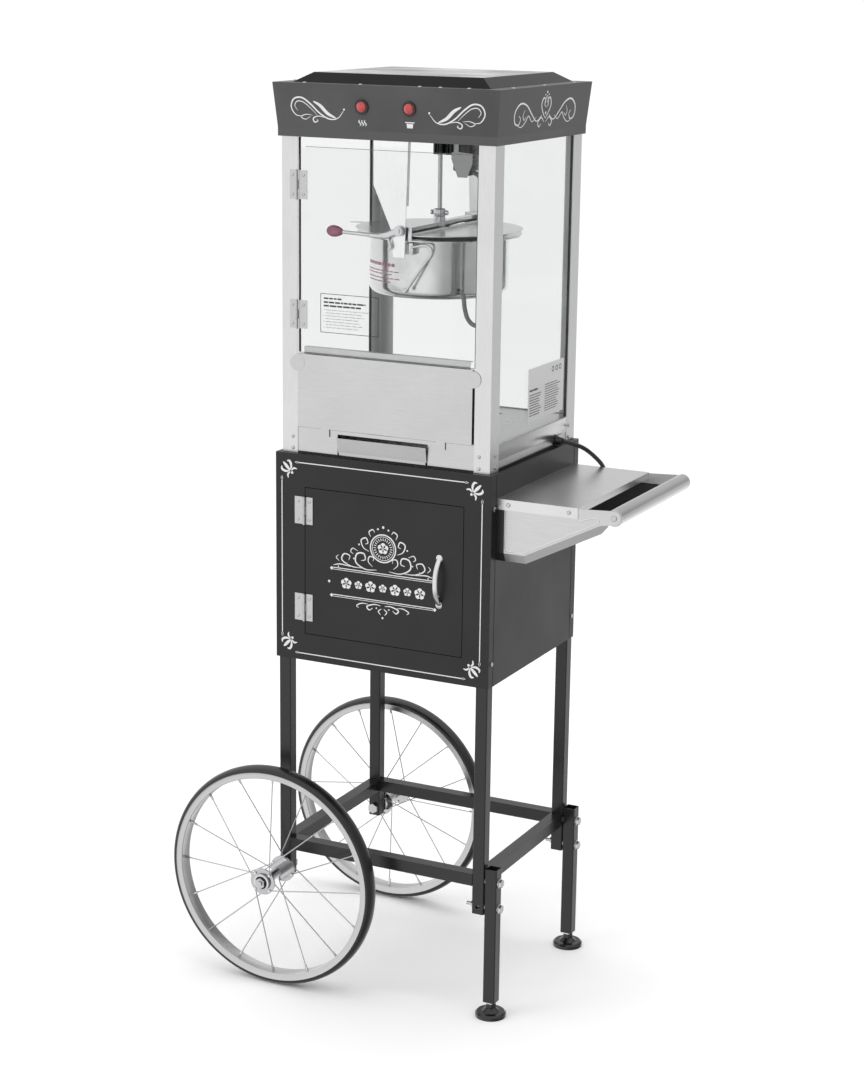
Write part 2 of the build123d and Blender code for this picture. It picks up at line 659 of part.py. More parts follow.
def machine_door():
    """The clear door pane, with its upper left corner rounded."""
    width = (-OPENING_X + 3.2, OPENING_X - GAP)
    pane = block(width, (CASE_FRONT, CASE_FRONT + PANE), (PANE_BOTTOM, PANE_TOP))
    corner = pane.edges().filter_by(Axis.Y).group_by(Axis.Z)[-1].sort_by(Axis.X)[0]
    return fillet(corner, 12)


def clip(x):
    """A bright hook over the base's front edge."""
    width = (x, x + 16)
    front = CASE_FRONT - STEEL
    inside = BASE_FRONT + STEEL + 0.4
    top = BASE_TOP + 1.5
    outer = block(width, (front, CASE_FRONT), (BASE_TOP - 12, BASE_TOP + 5))
    bridge = block(width, (front, inside + STEEL), (BASE_TOP + 0.3, top))
    inner = block(width, (inside, inside + STEEL), (BASE_TOP - 11, top))
    return outer + bridge + inner


EAR_Z = 1118.0
EAR_R = 14.0


def baffle():
    """The lift-out front panel with a rounded ear at each top corner and two hooks below."""
    front = CASE_FRONT - STEEL
    panel = block((-OPENING_X + 0.6, OPENING_X - 4), (front, CASE_FRONT), (BASE_TOP + 1.5, BAFFLE_TOP))
    for x in (-OPENING_X, OPENING_X - 3):
        panel += bar((x, front - 0.3, EAR_Z), (x, CASE_FRONT - 0.3, EAR_Z), EAR_R)
    return panel + clip(-121) + clip(98)


DRAWER_BACK = 150.0


def crumb_drawer():
    """The drawer: an open tray with a front that leans out at its top edge."""
    tray = block((DRAWER_LEFT, DRAWER_RIGHT), (BASE_FRONT - 2, DRAWER_BACK), (DRAWER_BOTTOM, DRAWER_TOP))
    tray -= block((DRAWER_LEFT + 1, DRAWER_RIGHT - 1), (BASE_FRONT - 1, DRAWER_BACK - 1),
                  (DRAWER_BOTTOM + 1, DRAWER_TOP + 1))
    top = DRAWER_FRONT_TOP
    corners = [(BASE_FRONT - 1.8, DRAWER_BOTTOM + 4), (BASE_FRONT - 7, top), (BASE_FRONT - 5, top),
               (BASE_FRONT - 1.5, DRAWER_BOTTOM + 12), (BASE_FRONT - 1.5, DRAWER_BOTTOM + 4)]
    section = Plane.YZ * make_face(Polyline(*corners, close=True))
    front = Pos(DRAWER_LEFT - 2, 0, 0) * extrude(section, DRAWER_RIGHT - DRAWER_LEFT + 4)
    return tray + front


def make_openings():
    save("machine_door", machine_door())
    save("baffle", baffle())
    save("crumb_drawer", crumb_drawer())
    fixed, cupboard_leaves, door_leaves = [], [], []
    for bottom in CUPBOARD_HINGES:
        frame_side, door_side = hinge(CUPBOARD_HINGE_X, -CUPBOARD_Y, bottom, 19, 16)
        fixed += frame_side
        cupboard_leaves.append(door_side)
    for bottom in MACHINE_HINGES:
        frame_side, door_side = hinge(MACHINE_HINGE_X, CASE_FRONT, bottom, 14, 19)
        fixed += frame_side
        door_leaves.append(door_side)
    save("fixed_hinge_leaves", *fixed)
    save("cupboard_hinge_leaves", *cupboard_leaves)
    save("door_hinge_leaves", *door_leaves)


# ---------------------------------------------------------------- screws and rivets


def screw(x, y, z, direction, radius=3.0):
    """A low domed screw head standing on a face."""
    tip = (x + 1.8 * direction[0], y + 1.8 * direction[1], z)
    head = bar((x, y, z), tip, radius)
    return chamfer(head.faces().sort_by(Axis((x, y, z), (*direction, 0)))[-1].edges(), 0.9)


def case_screws():
    front, right, left = (0, -1), (1, 0), (-1, 0)
    post_screw_x = CASE_X - 20
    panel_screw_y = CUPBOARD_Y - 11
    heads = []
    for z in (970, 990):
        heads += [screw(side * post_screw_x, CASE_FRONT, z, front) for side in (-1, 1)]
        for y in (CASE_FRONT + 21, CASE_BACK - 25):
            heads += [screw(CASE_X, y, z, right), screw(-CASE_X, y, z, left)]
    for z in (637, 904):
        for y in (-panel_screw_y, panel_screw_y):
            heads += [screw(CUPBOARD_X, y, z, right, 4.2), screw(-CUPBOARD_X, y, z, left, 4.2)]
    heads += [screw(x, SHELF_FRONT, SHELF_TOP - 9, front, 3.6) for x in (226, 334)]
    heads += [screw(HANDLE_X, SHELF_FRONT + STEEL, HANDLE_Z, front, 5)]
    heads += [screw(x, SHELF_BACK, SHELF_TOP - 9, (0, 1), 3.6) for x in (226, 334)]
    heads += [screw(HANDLE_X, SHELF_BACK - STEEL, HANDLE_Z, (0, 1), 5)]
    return heads


# ---------------------------------------------------------------- kettle and drive

GEAR_R = GEAR_MODULE * GEAR_TEETH / 2
GEAR_CENTRES = 2 * GEAR_R + 0.5
HINGE_ROD_X = 14.0  # from the tilting axis to each lid's hinge rod
LID_Z = 1341.0
LUG_Y = 142.0
SHAFT_R = 4.0
HANGER_SHEET = 1.5


def gear(x, phase):
    """A straight-toothed gear about a vertical axis; phase is the angle of one tooth's middle."""
    root = GEAR_R - 1.2 * GEAR_MODULE
    tip = GEAR_R + 0.95 * GEAR_MODULE
    step = 2 * pi / GEAR_TEETH
    outline = Circle(root)
    for number in range(GEAR_TEETH):
        angle = phase + number * step
        corners = [(root - 1, -0.30), (root - 1, 0.30), (tip, 0.115), (tip, -0.115)]
        tooth = [(radius * cos(angle + turn * step), radius * sin(angle + turn * step)) for radius, turn in corners]
        outline += make_face(Polyline(*tooth, close=True))
    return extrude(Pos(x, 0, GEAR_BOTTOM) * outline, GEAR_TOP - GEAR_BOTTOM)


def stirrer():
    """The stirrer shaft: gear on top, thrust collar, and two paddles just above the pot's floor."""
    paddle_bottom = POT_BOTTOM + 9
    shaft = bar((KETTLE_X, 0, paddle_bottom), (KETTLE_X, 0, GEAR_TOP + 2), SHAFT_R)
    collar = bar((KETTLE_X, 0, PIVOT_Z + 12), (KETTLE_X, 0, PIVOT_Z + 24), 9)
    boss = bar((KETTLE_X, 0, paddle_bottom), (KETTLE_X, 0, paddle_bottom + 14), 9)
    paddles = block((KETTLE_X - 104, KETTLE_X + 104), (-2, 2), (paddle_bottom, paddle_bottom + 9))
    return shaft + collar + boss + paddles + gear(KETTLE_X, 0)


def drive_gear():
    x = KETTLE_X + GEAR_CENTRES
    spindle = bar((x, 0, GEAR_TOP - 1), (x, 0, POST_TOP + 20), 3)
    return gear(x, pi + pi / GEAR_TEETH) + spindle


def gearmotor():
    """The gearbox standing on the ceiling, with the motor on top of it."""
    x = KETTLE_X + GEAR_CENTRES
    bottom = POST_TOP + 1.4
    gearbox = block((x - 28, x + 28), (-28, 28), (bottom, bottom + 26))
    motor = bar((x, 0, bottom + 26), (x, 0, bottom + 68), 24)
    return gearbox + motor - bar((x, 0, bottom), (x, 0, bottom + 19), 3 + RUNNING_GAP)


def pot():
    """The round pot: thick heated floor, thin wall with a rounded bottom edge, and a wide flat lip."""
    body = bar((0, 0, POT_BOTTOM), (0, 0, POT_TOP), POT_R)
    body = fillet(body.edges().group_by(Axis.Z)[0], 16)
    body += bar((0, 0, POT_TOP - 1.5), (0, 0, POT_TOP), LIP_R)
    cavity = bar((0, 0, POT_BOTTOM + 8), (0, 0, POT_TOP), POT_R - 1.5)
    cavity = fillet(cavity.edges().group_by(Axis.Z)[0], 10)
    return Pos(KETTLE_X, 0, 0) * (body - cavity)


def kettle_lug():
    """The front lug: it stands on the lip, and its trunnion runs in the hanger plate."""
    lug = block((KETTLE_X - 19, KETTLE_X + 19), (-LUG_Y, -LUG_Y + 3), (POT_TOP, PIVOT_Z + 6))
    return lug + bar((KETTLE_X, -LUG_Y + 1, PIVOT_Z), (KETTLE_X, -158, PIVOT_Z), 4)


def kettle_crossbar():
    """The flat bar between the lugs with the stirrer's bearing block, and the two lid hinge rods."""
    cross = kettle_lug() + at_back(kettle_lug())
    cross += block((KETTLE_X - 7, KETTLE_X + 7), (-LUG_Y + 1, LUG_Y - 1), (PIVOT_Z - 2, PIVOT_Z + 3))
    cross += bar((KETTLE_X, 0, PIVOT_Z - 8), (KETTLE_X, 0, PIVOT_Z + 11.5), 10)
    cross -= bar((KETTLE_X, 0, PIVOT_Z - 9), (KETTLE_X, 0, PIVOT_Z + 12), SHAFT_R + RUNNING_GAP)
    rods = []
    for side in (-1, 1):
        x = KETTLE_X + side * HINGE_ROD_X
        rod = bar((x, -LUG_Y, LID_Z), (x, LUG_Y, LID_Z), 1.5)
        cross -= rod
        rods.append(rod)
    return [cross, *rods]


def lid(side):
    """Half of the pot's cover: side is -1 for the left one, which has a lifting tab, and 1 for the right."""
    reach = LUG_Y - 4
    hinge_x = KETTLE_X + side * HINGE_ROD_X
    far = KETTLE_X + side * 150
    sheet = bar((KETTLE_X, 0, LID_Z - 0.6), (KETTLE_X, 0, LID_Z + 0.6), LIP_R + 2)
    sheet &= block(sorted((hinge_x + side * 2, far)), (-reach, reach), (LID_Z - 1, LID_Z + 1))
    sheet += bar((hinge_x, -reach, LID_Z), (hinge_x, reach, LID_Z), 2.8)
    sheet -= bar((hinge_x, -reach, LID_Z), (hinge_x, reach, LID_Z), 1.5 + RUNNING_GAP)
    if side < 0:
        sheet += block((KETTLE_X - LIP_R - 30, KETTLE_X - LIP_R + 1), (-7, 7), (LID_Z - 0.6, LID_Z + 0.6))
    return sheet - bar((KETTLE_X, 0, LID_Z - 5), (KETTLE_X, 0, LID_Z + 5), 17)


def kettle_handles():
    """The tilting rod with its sleeve, arm and knob, the bracket on the pot, and the bent pull rod."""
    y = -153.0
    arm = block((KETTLE_X - 25, KETTLE_X), (y - 3, y + 3), (PIVOT_Z - 16, PIVOT_Z + 4))
    arm += bar((KETTLE_X, y - 3, PIVOT_Z), (KETTLE_X, y + 3, PIVOT_Z), 8)
    arm += bar((-95, y, 1342), (KETTLE_X - 20, y, 1338), 3.2)
    arm += bar((-40, y, 1340), (-14, y, 1339), 4.3)
    arm -= bar((KETTLE_X, y - 6, PIVOT_Z), (KETTLE_X, y + 6, PIVOT_Z), 4)
    knob = Pos(-105, y, 1342.3) * Rot(0, 2, 0) * scale(Sphere(1), (16, 11, 11))
    knob -= arm
    bracket = block((16, 34), (-140, -POT_R + 1), (1309, 1330))
    bracket -= bar((KETTLE_X, 0, POT_TOP - 30), (KETTLE_X, 0, POT_TOP), POT_R)
    pull_y = -138.0
    pull_end = (21, pull_y, 1250)
    route = Polyline((30, pull_y, 1322), (57, pull_y, 1326), (69, pull_y, 1312), pull_end)
    across = Plane(origin=route @ 0, z_dir=route % 0)
    wire = sweep(across * Circle(2.4), path=route, transition=Transition.ROUND)
    pull = wire + Pos(*pull_end) * Sphere(4.5)
    return [arm, knob, bracket, pull - bracket]


def hanger(front):
    """A plate that hangs the kettle from the ceiling: a wide one in front and a narrow one at the back."""
    top = POST_TOP
    if front:
        points = [(-37, top), (27, top), (22, 1305), (1, 1305), (-3, PIVOT_Z), (-36.5, 1422)]
        flange_points = [(27 - HANGER_SHEET, top), (27, top), (24, 1390), (24 - HANGER_SHEET, 1390)]
        flange = plate_xz(flange_points, -HANGER_Y, -HANGER_Y + 10)
        plate = plate_xz(points, -HANGER_Y, -HANGER_Y + HANGER_SHEET) + flange
    else:
        points = [(-6, top), (40, top), (32, 1305), (1, 1305)]
        plate = plate_xz(points, HANGER_Y - HANGER_SHEET, HANGER_Y)
    y = -HANGER_Y if front else HANGER_Y
    inward = 10 if front else -10
    plate += block((-6, 27), sorted((y, y + inward)), (top - HANGER_SHEET, top))
    return plate - bar((KETTLE_X, y - 3, PIVOT_Z), (KETTLE_X, y + 3, PIVOT_Z), 4 + RUNNING_GAP)


def kettle_socket():
    """The kettle's outlet under the ceiling: a tapered steel guard and the black socket behind it."""
    left, right, bottom, front = 78.0, 116.0, 1439.0, -118.0
    outline = [(left, POST_TOP), (right, POST_TOP), (right, bottom + 23), (right - 8, bottom),
               (left + 12, bottom), (left, bottom + 33)]
    guard = plate_xz(outline, front, front + STEEL)
    guard += block((left, right), (front, front + 23), (POST_TOP - STEEL, POST_TOP))
    socket = block((left + 14, right + 10), (front + STEEL, front + 34), (bottom + 2, POST_TOP - STEEL))
    return [guard, fillet(socket.edges().filter_by(Axis.Z), 3) - guard]


def make_kettle():
    save("stirrer", stirrer())
    save("drive_gear", drive_gear())
    save("gearmotor", gearmotor())
    save("kettle_pot", pot())
    save("kettle_crossbar", *kettle_crossbar())
    save("left_lid", lid(-1))
    save("right_lid", lid(1))
    save("kettle_handles", *kettle_handles())
    save("kettle_hangers", hanger(True), hanger(False))
    save("kettle_socket", *kettle_socket())


# ---------------------------------------------------------------- power cord

BUSH_OUT = 210.0
COIL_X = 120.0
COIL_Z = 765.0
COIL_START_Y = 219.5
COIL_END_Y = COIL_START_Y - COIL_TURNS * CORD_D
CORD_R = CORD_D / 2

LEAD = [(BUSH_OUT, 100, 972), (236, 111, 966), (252, 134, 947), (262, 172, 916), (252, 202, 872),
        (222, 221, 836), (176, 221.5, 811), (130, COIL_START_Y, COIL_Z + COIL_R)]
TAIL = [(COIL_X - COIL_R, COIL_END_Y, COIL_Z), (COIL_X - COIL_R - 1, COIL_END_Y + 2, COIL_Z - 33),
        (COIL_X - COIL_R + 3, COIL_END_Y + 5, COIL_Z - 65)]


def cord_tube(name, points):
    """A round cord along straight runs joined by the largest arcs that fit; prints its radii and volume."""
    places = [Vector(*point) for point in points]
    radii = []
    for before, corner, after in zip(places, places[1:], places[2:]):
        arriving, leaving = corner - before, after - corner
        turn = radians(arriving.get_angle(leaving))
        radii.append(0.45 * min(arriving.length, leaving.length) / tan(turn / 2))
    path = FilletPolyline(*points, radius=radii)
    tube = sweep(Plane(origin=path @ 0, z_dir=path % 0) * Circle(CORD_R), path=path)
    expected = pi * CORD_R**2 * path.length
    print(name, "radii", [round(radius) for radius in radii], "length", round(path.length, 1),
          "volume ratio", round(tube.volume / expected, 4))
    return tube


def cord_bush():
    """The tapered strain relief through the base's right side."""
    flange = bar((BASE_X, BUSH_Y, BUSH_Z), (BASE_X + 3, BUSH_Y, BUSH_Z), 9.5)
    barrel = bar((BASE_X - 9, BUSH_Y, BUSH_Z), (BASE_X, BUSH_Y, BUSH_Z), BUSH_HOLE_R)
    length = BUSH_OUT - BASE_X - 3
    nose = Pos(BASE_X + 3 + length / 2, BUSH_Y, BUSH_Z) * Rot(0, 90, 0) * Cone(7.5, 5.2, length)
    return flange + barrel + nose


def cord_coil():
    """The outer shape of the coiled cord."""
    return sleeve((COIL_X, COIL_END_Y - CORD_R, COIL_Z), (COIL_X, COIL_START_Y + CORD_R, COIL_Z),
                  COIL_R + CORD_R, COIL_R - CORD_R)


def cord_tie():
    """The band that holds the coil's turns together at its lower right."""
    low, high = COIL_END_Y - CORD_R, COIL_START_Y + CORD_R
    radial = (COIL_R - CORD_R, COIL_R + CORD_R)
    band = 1.2
    loop = block((radial[0] - band, radial[1] + band), (low - band, high + band), (-5, 5))
    loop -= block(radial, (low, high), (-6, 6))
    return Pos(COIL_X, 0, COIL_Z) * Rot(0, 40, 0) * loop


def mains_plug():
    """The moulded plug hanging from the cord's end, with two flat blades and a round earth pin."""
    x, y, top = TAIL[-1]
    body_top = top - 6
    body_bottom = body_top - 34
    neck = bar((x, y, top), (x, y, body_top), 5.5)
    body = block((x - 14, x + 14), (y - 8, y + 8), (body_bottom, body_top))
    body = fillet(body.edges().filter_by(Axis.Z), 5)
    blades = []
    for side in (-1, 1):
        blade_x = x + side * 6.3
        blades.append(block((blade_x - 0.8, blade_x + 0.8), (y - 5.5, y + 0.5), (body_bottom - 17, body_bottom)))
    earth = bar((x, y + 4.5, body_bottom), (x, y + 4.5, body_bottom - 19), 2.4)
    return [neck + body, *blades, earth]


def make_cord():
    save("cord_bush", cord_bush())
    save("power_cord", cord_tube("lead", LEAD), cord_tube("tail", TAIL))
    save("cord_coil", cord_coil())
    save("cord_tie", cord_tie())
    save("mains_plug", *mains_plug())


os.makedirs("parts", exist_ok=True)
make_frame()
make_wheels()
make_cupboard()
make_shelf()
make_case()
make_openings()
save("case_screws", *case_screws())
make_kettle()
make_cord()
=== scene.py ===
"""Looks of the popcorn machine on its wheeled cart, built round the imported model.

Metres, +Z up, front to -Y.
"""

from math import cos, pi, radians, sin

import bmesh
import bpy
from mathutils import Matrix, Vector


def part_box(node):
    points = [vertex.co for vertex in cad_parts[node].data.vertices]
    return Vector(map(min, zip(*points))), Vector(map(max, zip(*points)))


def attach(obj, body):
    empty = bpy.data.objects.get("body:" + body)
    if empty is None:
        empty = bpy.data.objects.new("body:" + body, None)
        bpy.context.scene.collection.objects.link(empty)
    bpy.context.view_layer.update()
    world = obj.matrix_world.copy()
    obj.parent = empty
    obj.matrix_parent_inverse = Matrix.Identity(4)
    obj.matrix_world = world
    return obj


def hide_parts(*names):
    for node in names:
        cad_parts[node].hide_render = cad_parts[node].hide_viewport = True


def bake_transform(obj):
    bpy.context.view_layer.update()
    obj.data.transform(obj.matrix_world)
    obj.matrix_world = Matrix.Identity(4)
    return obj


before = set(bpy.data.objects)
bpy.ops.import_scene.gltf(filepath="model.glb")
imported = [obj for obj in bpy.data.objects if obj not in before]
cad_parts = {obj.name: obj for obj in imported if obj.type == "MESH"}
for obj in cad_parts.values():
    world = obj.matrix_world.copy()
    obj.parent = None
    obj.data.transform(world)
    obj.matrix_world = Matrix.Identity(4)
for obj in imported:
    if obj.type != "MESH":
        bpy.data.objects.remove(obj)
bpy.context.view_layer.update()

MM = 0.001
X_AXIS, Y_AXIS, Z_AXIS = Vector((1, 0, 0)), Vector((0, 1, 0)), Vector((0, 0, 1))
scene = bpy.context.scene

CUPBOARD_LOW, CUPBOARD_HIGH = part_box("cupboard_front")
MID_X = (CUPBOARD_LOW.x + CUPBOARD_HIGH.x) / 2  # the cupboard's and the case's middle plane
FRONT_Y = CUPBOARD_LOW.y
VALANCE_LOW, VALANCE_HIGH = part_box("valance")


def at(x, y, z):
    """A point from millimetres about the cupboard's middle plane."""
    return Vector((MID_X + x * MM, y * MM, z * MM))


# ---------------------------------------------------------------- camera

CAMERA_PLACE = (1.7379, -3.5357, 1.7732)
CAMERA_AZIMUTH = radians(26.32)
CAMERA_ELEVATION = radians(13.98)
CAMERA_ROLL = radians(0.74)
CAMERA_LENS = 76.82


def make_camera():
    level_reach = cos(CAMERA_ELEVATION)
    forward = Vector((-sin(CAMERA_AZIMUTH) * level_reach, cos(CAMERA_AZIMUTH) * level_reach,
                      -sin(CAMERA_ELEVATION)))
    level = Vector((cos(CAMERA_AZIMUTH), sin(CAMERA_AZIMUTH), 0))
    upward = level.cross(forward)
    right = cos(CAMERA_ROLL) * level + sin(CAMERA_ROLL) * upward
    up = cos(CAMERA_ROLL) * upward - sin(CAMERA_ROLL) * level
    camera = bpy.data.objects.new("camera", bpy.data.cameras.new("camera"))
    camera.data.lens = CAMERA_LENS
    camera.data.clip_end = 500
    turn = Matrix((right, up, -forward)).transposed().to_4x4()
    camera.matrix_world = Matrix.Translation(CAMERA_PLACE) @ turn
    scene.collection.objects.link(camera)
    scene.camera = camera


make_camera()


# ---------------------------------------------------------------- materials

def grey(shade):
    return (shade, shade, shade)


def scaled(colour, factor, lift=0.0):
    """A colour made lighter or darker."""
    return [channel * factor + lift for channel in colour]


def start_material(name, colour, roughness, metallic=0.0):
    """A material with one Principled shader, and that shader."""
    material = bpy.data.materials.new(name)
    material.use_nodes = True
    shader = material.node_tree.nodes["Principled BSDF"]
    shader.inputs["Base Color"].default_value = (*colour, 1)
    shader.inputs["Roughness"].default_value = roughness
    shader.inputs["Metallic"].default_value = metallic
    return material, shader


def is_socket(value):
    return isinstance(value, bpy.types.NodeSocket)


def feed(tree, node, inputs):
    """Sets each input of a node to a constant, or links it to the socket that feeds it."""
    for name, value in inputs.items():
        if is_socket(value):
            tree.links.new(value, node.inputs[name])
        else:
            node.inputs[name].default_value = value


def add_node(tree, kind, inputs):
    node = tree.nodes.new("ShaderNode" + kind)
    feed(tree, node, inputs)
    return node


def compute(tree, operation, first, second):
    """A sum on two values, each a number or a socket."""
    node = add_node(tree, "Math", {0: first, 1: second})
    node.operation = operation
    return node.outputs[0]


def shader_input(material, name):
    return material.node_tree.nodes["Principled BSDF"].inputs[name]


def coat_of(material):
    """The socket that feeds the base colour so far."""
    return shader_input(material, "Base Color").links[0].from_socket


def own_place(material):
    """The shaded point in the object's own space."""
    return material.node_tree.nodes.new("ShaderNodeTexCoord").outputs["Object"]


def grain(material, scale, detail=3.0, stretch=(1, 1, 1)):
    """Noise through the object's own space, finer or coarser along each axis."""
    tree = material.node_tree
    mapping = add_node(tree, "Mapping", {"Scale": stretch, "Vector": own_place(material)})
    inputs = {"Scale": scale, "Detail": detail, "Vector": mapping.outputs["Vector"]}
    return add_node(tree, "TexNoise", inputs).outputs["Fac"]


def span(material, factor, low, high, start=0.3, end=0.7):
    """A number that runs from low to high as factor runs from start to end."""
    inputs = {"From Min": start, "From Max": end, "To Min": low, "To Max": high, "Value": factor}
    return add_node(material.node_tree, "MapRange", inputs).outputs["Result"]


def opposite(material, mask):
    """1 where the mask is 0, and 0 where it is 1."""
    return span(material, mask, 1.0, 0.0, 0, 1)


def tint(material, factor, first, second, blend="MIX"):
    """Mixes two colours into the base colour; each is a colour or a socket."""
    mix = material.node_tree.nodes.new("ShaderNodeMix")
    mix.data_type = "RGBA"
    mix.blend_type = blend
    first, second = (colour if is_socket(colour) else (*colour, 1) for colour in (first, second))
    feed(material.node_tree, mix, {0: factor, 6: first, 7: second})
    material.node_tree.links.new(mix.outputs[2], shader_input(material, "Base Color"))


def rough(material, factor, low, high):
    result = span(material, factor, low, high)
    material.node_tree.links.new(result, shader_input(material, "Roughness"))


def mottle(material, cloud, first, second, low, high):
    """Colour and roughness that wander together with one noise."""
    tint(material, span(material, cloud, 0, 1), first, second)
    rough(material, cloud, low, high)


def bump(material, *layers):
    """Stacks bumps: each layer is (height socket, strength, depth in metres)."""
    tree = material.node_tree
    below = None
    for height, strength, depth in layers:
        inputs = {"Strength": strength, "Distance": depth, "Height": height}
        if below is not None:
            inputs["Normal"] = below
        below = add_node(tree, "Bump", inputs).outputs["Normal"]
    tree.links.new(below, shader_input(material, "Normal"))


def overlay(material, mask, colour):
    """Covers the metal with a dull plain colour where the mask is 1."""
    tint(material, mask, coat_of(material), colour)
    material.node_tree.links.new(opposite(material, mask), shader_input(material, "Metallic"))
    return material


def above(material, limit):
    """1 where the object's own height passes limit, else 0."""
    tree = material.node_tree
    height = add_node(tree, "SeparateXYZ", {0: own_place(material)}).outputs["Z"]
    return compute(tree, "GREATER_THAN", height, limit)


def face_parts(tree):
    """The place and the normal of the shaded face, each split into X, Y and Z."""
    face = tree.nodes.new("ShaderNodeNewGeometry")
    return [add_node(tree, "SeparateXYZ", {0: face.outputs[name]}).outputs
            for name in ("Position", "Normal")]


def powder_coat(name, colour, roughness, specular):
    """Satin powder coat: a fine orange peel, a soft sheen that wanders, and a trace of dust."""
    material, shader = start_material(name, colour, roughness)
    shader.inputs["Specular IOR Level"].default_value = specular
    mottle(material, grain(material, 9, 4), colour, scaled(colour, 1.3, 0.002),
           roughness - 0.05, roughness + 0.06)
    bump(material, (grain(material, 420, 2), 0.22, 0.0002), (grain(material, 60, 2), 0.08, 0.0006))
    return material


def brushed_steel(name, along, shade, low, high):
    """Stainless sheet with very fine brush lines along one axis and slow cloudiness."""
    material, shader = start_material(name, grey(shade), 0.33, 1.0)
    stretch = [1.0, 1.0, 1.0]
    stretch["xyz".index(along)] = 0.02
    lines = grain(material, 2400, 2, stretch)
    cloud = grain(material, 6, 3)
    tint(material, span(material, lines, 0, 1), grey(shade * 0.93), grey(shade * 1.05))
    tint(material, 1.0, coat_of(material), span(material, cloud, 0.93, 1.05), "MULTIPLY")
    rough(material, cloud, low, high)
    bump(material, (lines, 0.06, 0.0001))
    return material


INNER_FACE = -0.09  # place times normal lies below this on faces that look towards the middle
UNDERSIDE = -0.7  # a face's normal points down below this
SHADE_TOP_Z = 0.902  # inner faces above this height get no painted shade
SHADE_STRIP_X = CUPBOARD_HIGH.x + 0.0135  # how far the brackets' strip of painted shade beside the cupboard reaches


def pale_inner_faces_painted_light(material):
    """Paints the inner faces of the folded sheet a pale matte grey, as painted light where little light
    reaches them.
    """
    tree = material.node_tree
    place, normal = face_parts(tree)
    across = compute(tree, "SUBTRACT", place["X"], MID_X)
    least = compute(tree, "MINIMUM", compute(tree, "MULTIPLY", across, normal["X"]),
                    compute(tree, "MULTIPLY", place["Y"], normal["Y"]))
    return overlay(material, compute(tree, "LESS_THAN", least, INNER_FACE), grey(0.78))


def bracket_painted_shade(material):
    """Painted shade: near-black on undersides, on low inner faces, and in a strip beside the cupboard, where
    shade falls.
    """
    tree = material.node_tree
    place, normal = face_parts(tree)

    def below(value, limit):
        return compute(tree, "LESS_THAN", value, limit)

    inner = below(compute(tree, "MULTIPLY", normal["Y"], place["Y"]), INNER_FACE)
    low_inner = compute(tree, "MULTIPLY", inner, below(place["Z"], SHADE_TOP_Z))
    dark = compute(tree, "MAXIMUM", low_inner, below(normal["Z"], UNDERSIDE))
    return overlay(material, compute(tree, "MAXIMUM", dark, below(place["X"], SHADE_STRIP_X)), grey(0.012))


def painted_light_skirt(material, limit, colour):
    """A slightly lighter band below a fold, painted light for the lower face."""
    tint(material, opposite(material, above(material, limit)), coat_of(material), colour)
    return material


def bright_metal(name, colour, low, high, scale=40, dent=0.05):
    """Plated or polished metal: nearly smooth, with faint wipe marks."""
    material, shader = start_material(name, colour, low, 1.0)
    mottle(material, grain(material, scale, 4), scaled(colour, 0.92), colour, low, high)
    bump(material, (grain(material, 350, 2), dent, 0.0001))
    return material


def spun_steel():
    """The pot's polished steel, with fine rings from spinning and a cloudy heat haze."""
    material, shader = start_material("spun_steel", grey(0.6), 0.18, 1.0)
    mottle(material, grain(material, 16, 5), grey(0.54), (0.73, 0.73, 0.72), 0.10, 0.24)
    rings = grain(material, 700, 3, (0.015, 0.015, 1))
    bump(material, (rings, 0.09, 0.0001), (grain(material, 22, 2), 0.10, 0.0012))
    return material


def moulded(name, colour, roughness, peel=0.12, coat=0.0):
    """Moulded plastic or rubber: slightly uneven colour and a fine pebbled skin."""
    material, shader = start_material(name, colour, roughness)
    shader.inputs["Coat Weight"].default_value = coat
    shader.inputs["Coat Roughness"].default_value = 0.08
    mottle(material, grain(material, 30, 4), colour, scaled(colour, 1.3, 0.002),
           max(0.04, roughness - 0.07), roughness + 0.07)
    bump(material, (grain(material, 800, 2), peel, 0.0002))
    return material


def clear_pane(name, clear):
    """Clear sheet: each face lets a share of the light through, and mirrors more at a grazing view."""
    material, shader = start_material(name, (0.93, 0.95, 0.95), 0.03, 1.0)
    tree = material.node_tree
    rough(material, grain(material, 14, 4), 0.02, 0.08)
    facing = add_node(tree, "LayerWeight", {"Blend": 0.35}).outputs["Facing"]
    mirror_share = span(material, facing, 0.012, 0.35, 0.35, 1.0)
    see = add_node(tree, "BsdfTransparent", {"Color": (clear * 0.996, clear, clear, 1)})
    mix = add_node(tree, "MixShader", {0: mirror_share, 1: see.outputs[0], 2: shader.outputs[0]})
    tree.links.new(mix.outputs[0], tree.nodes["Material Output"].inputs["Surface"])
    return material


def printed(name, colour, metallic=0.0):
    """Printed foil or ink, slightly worn and uneven."""
    material, shader = start_material(name, colour, 0.42, metallic)
    wear = grain(material, 260, 3)
    mottle(material, wear, scaled(colour, 0.86), colour, 0.34, 0.52)
    bump(material, (wear, 0.05, 0.0001))
    return material


def red_lens():
    """The red button's glossy translucent plastic, a little uneven as if a lamp stands behind it."""
    material, shader = start_material("red_lens", (0.40, 0.01, 0.008), 0.1)
    shader.inputs["Coat Weight"].default_value = 1.0
    shader.inputs["Coat Roughness"].default_value = 0.03
    shader.inputs["Subsurface Weight"].default_value = 0.3
    shader.inputs["Subsurface Radius"].default_value = (0.004, 0.001, 0.001)
    mottle(material, grain(material, 240, 2), (0.30, 0.004, 0.004), (0.52, 0.02, 0.014), 0.06, 0.14)
    bump(material, (grain(material, 120, 1), 0.12, 0.0004))
    return material


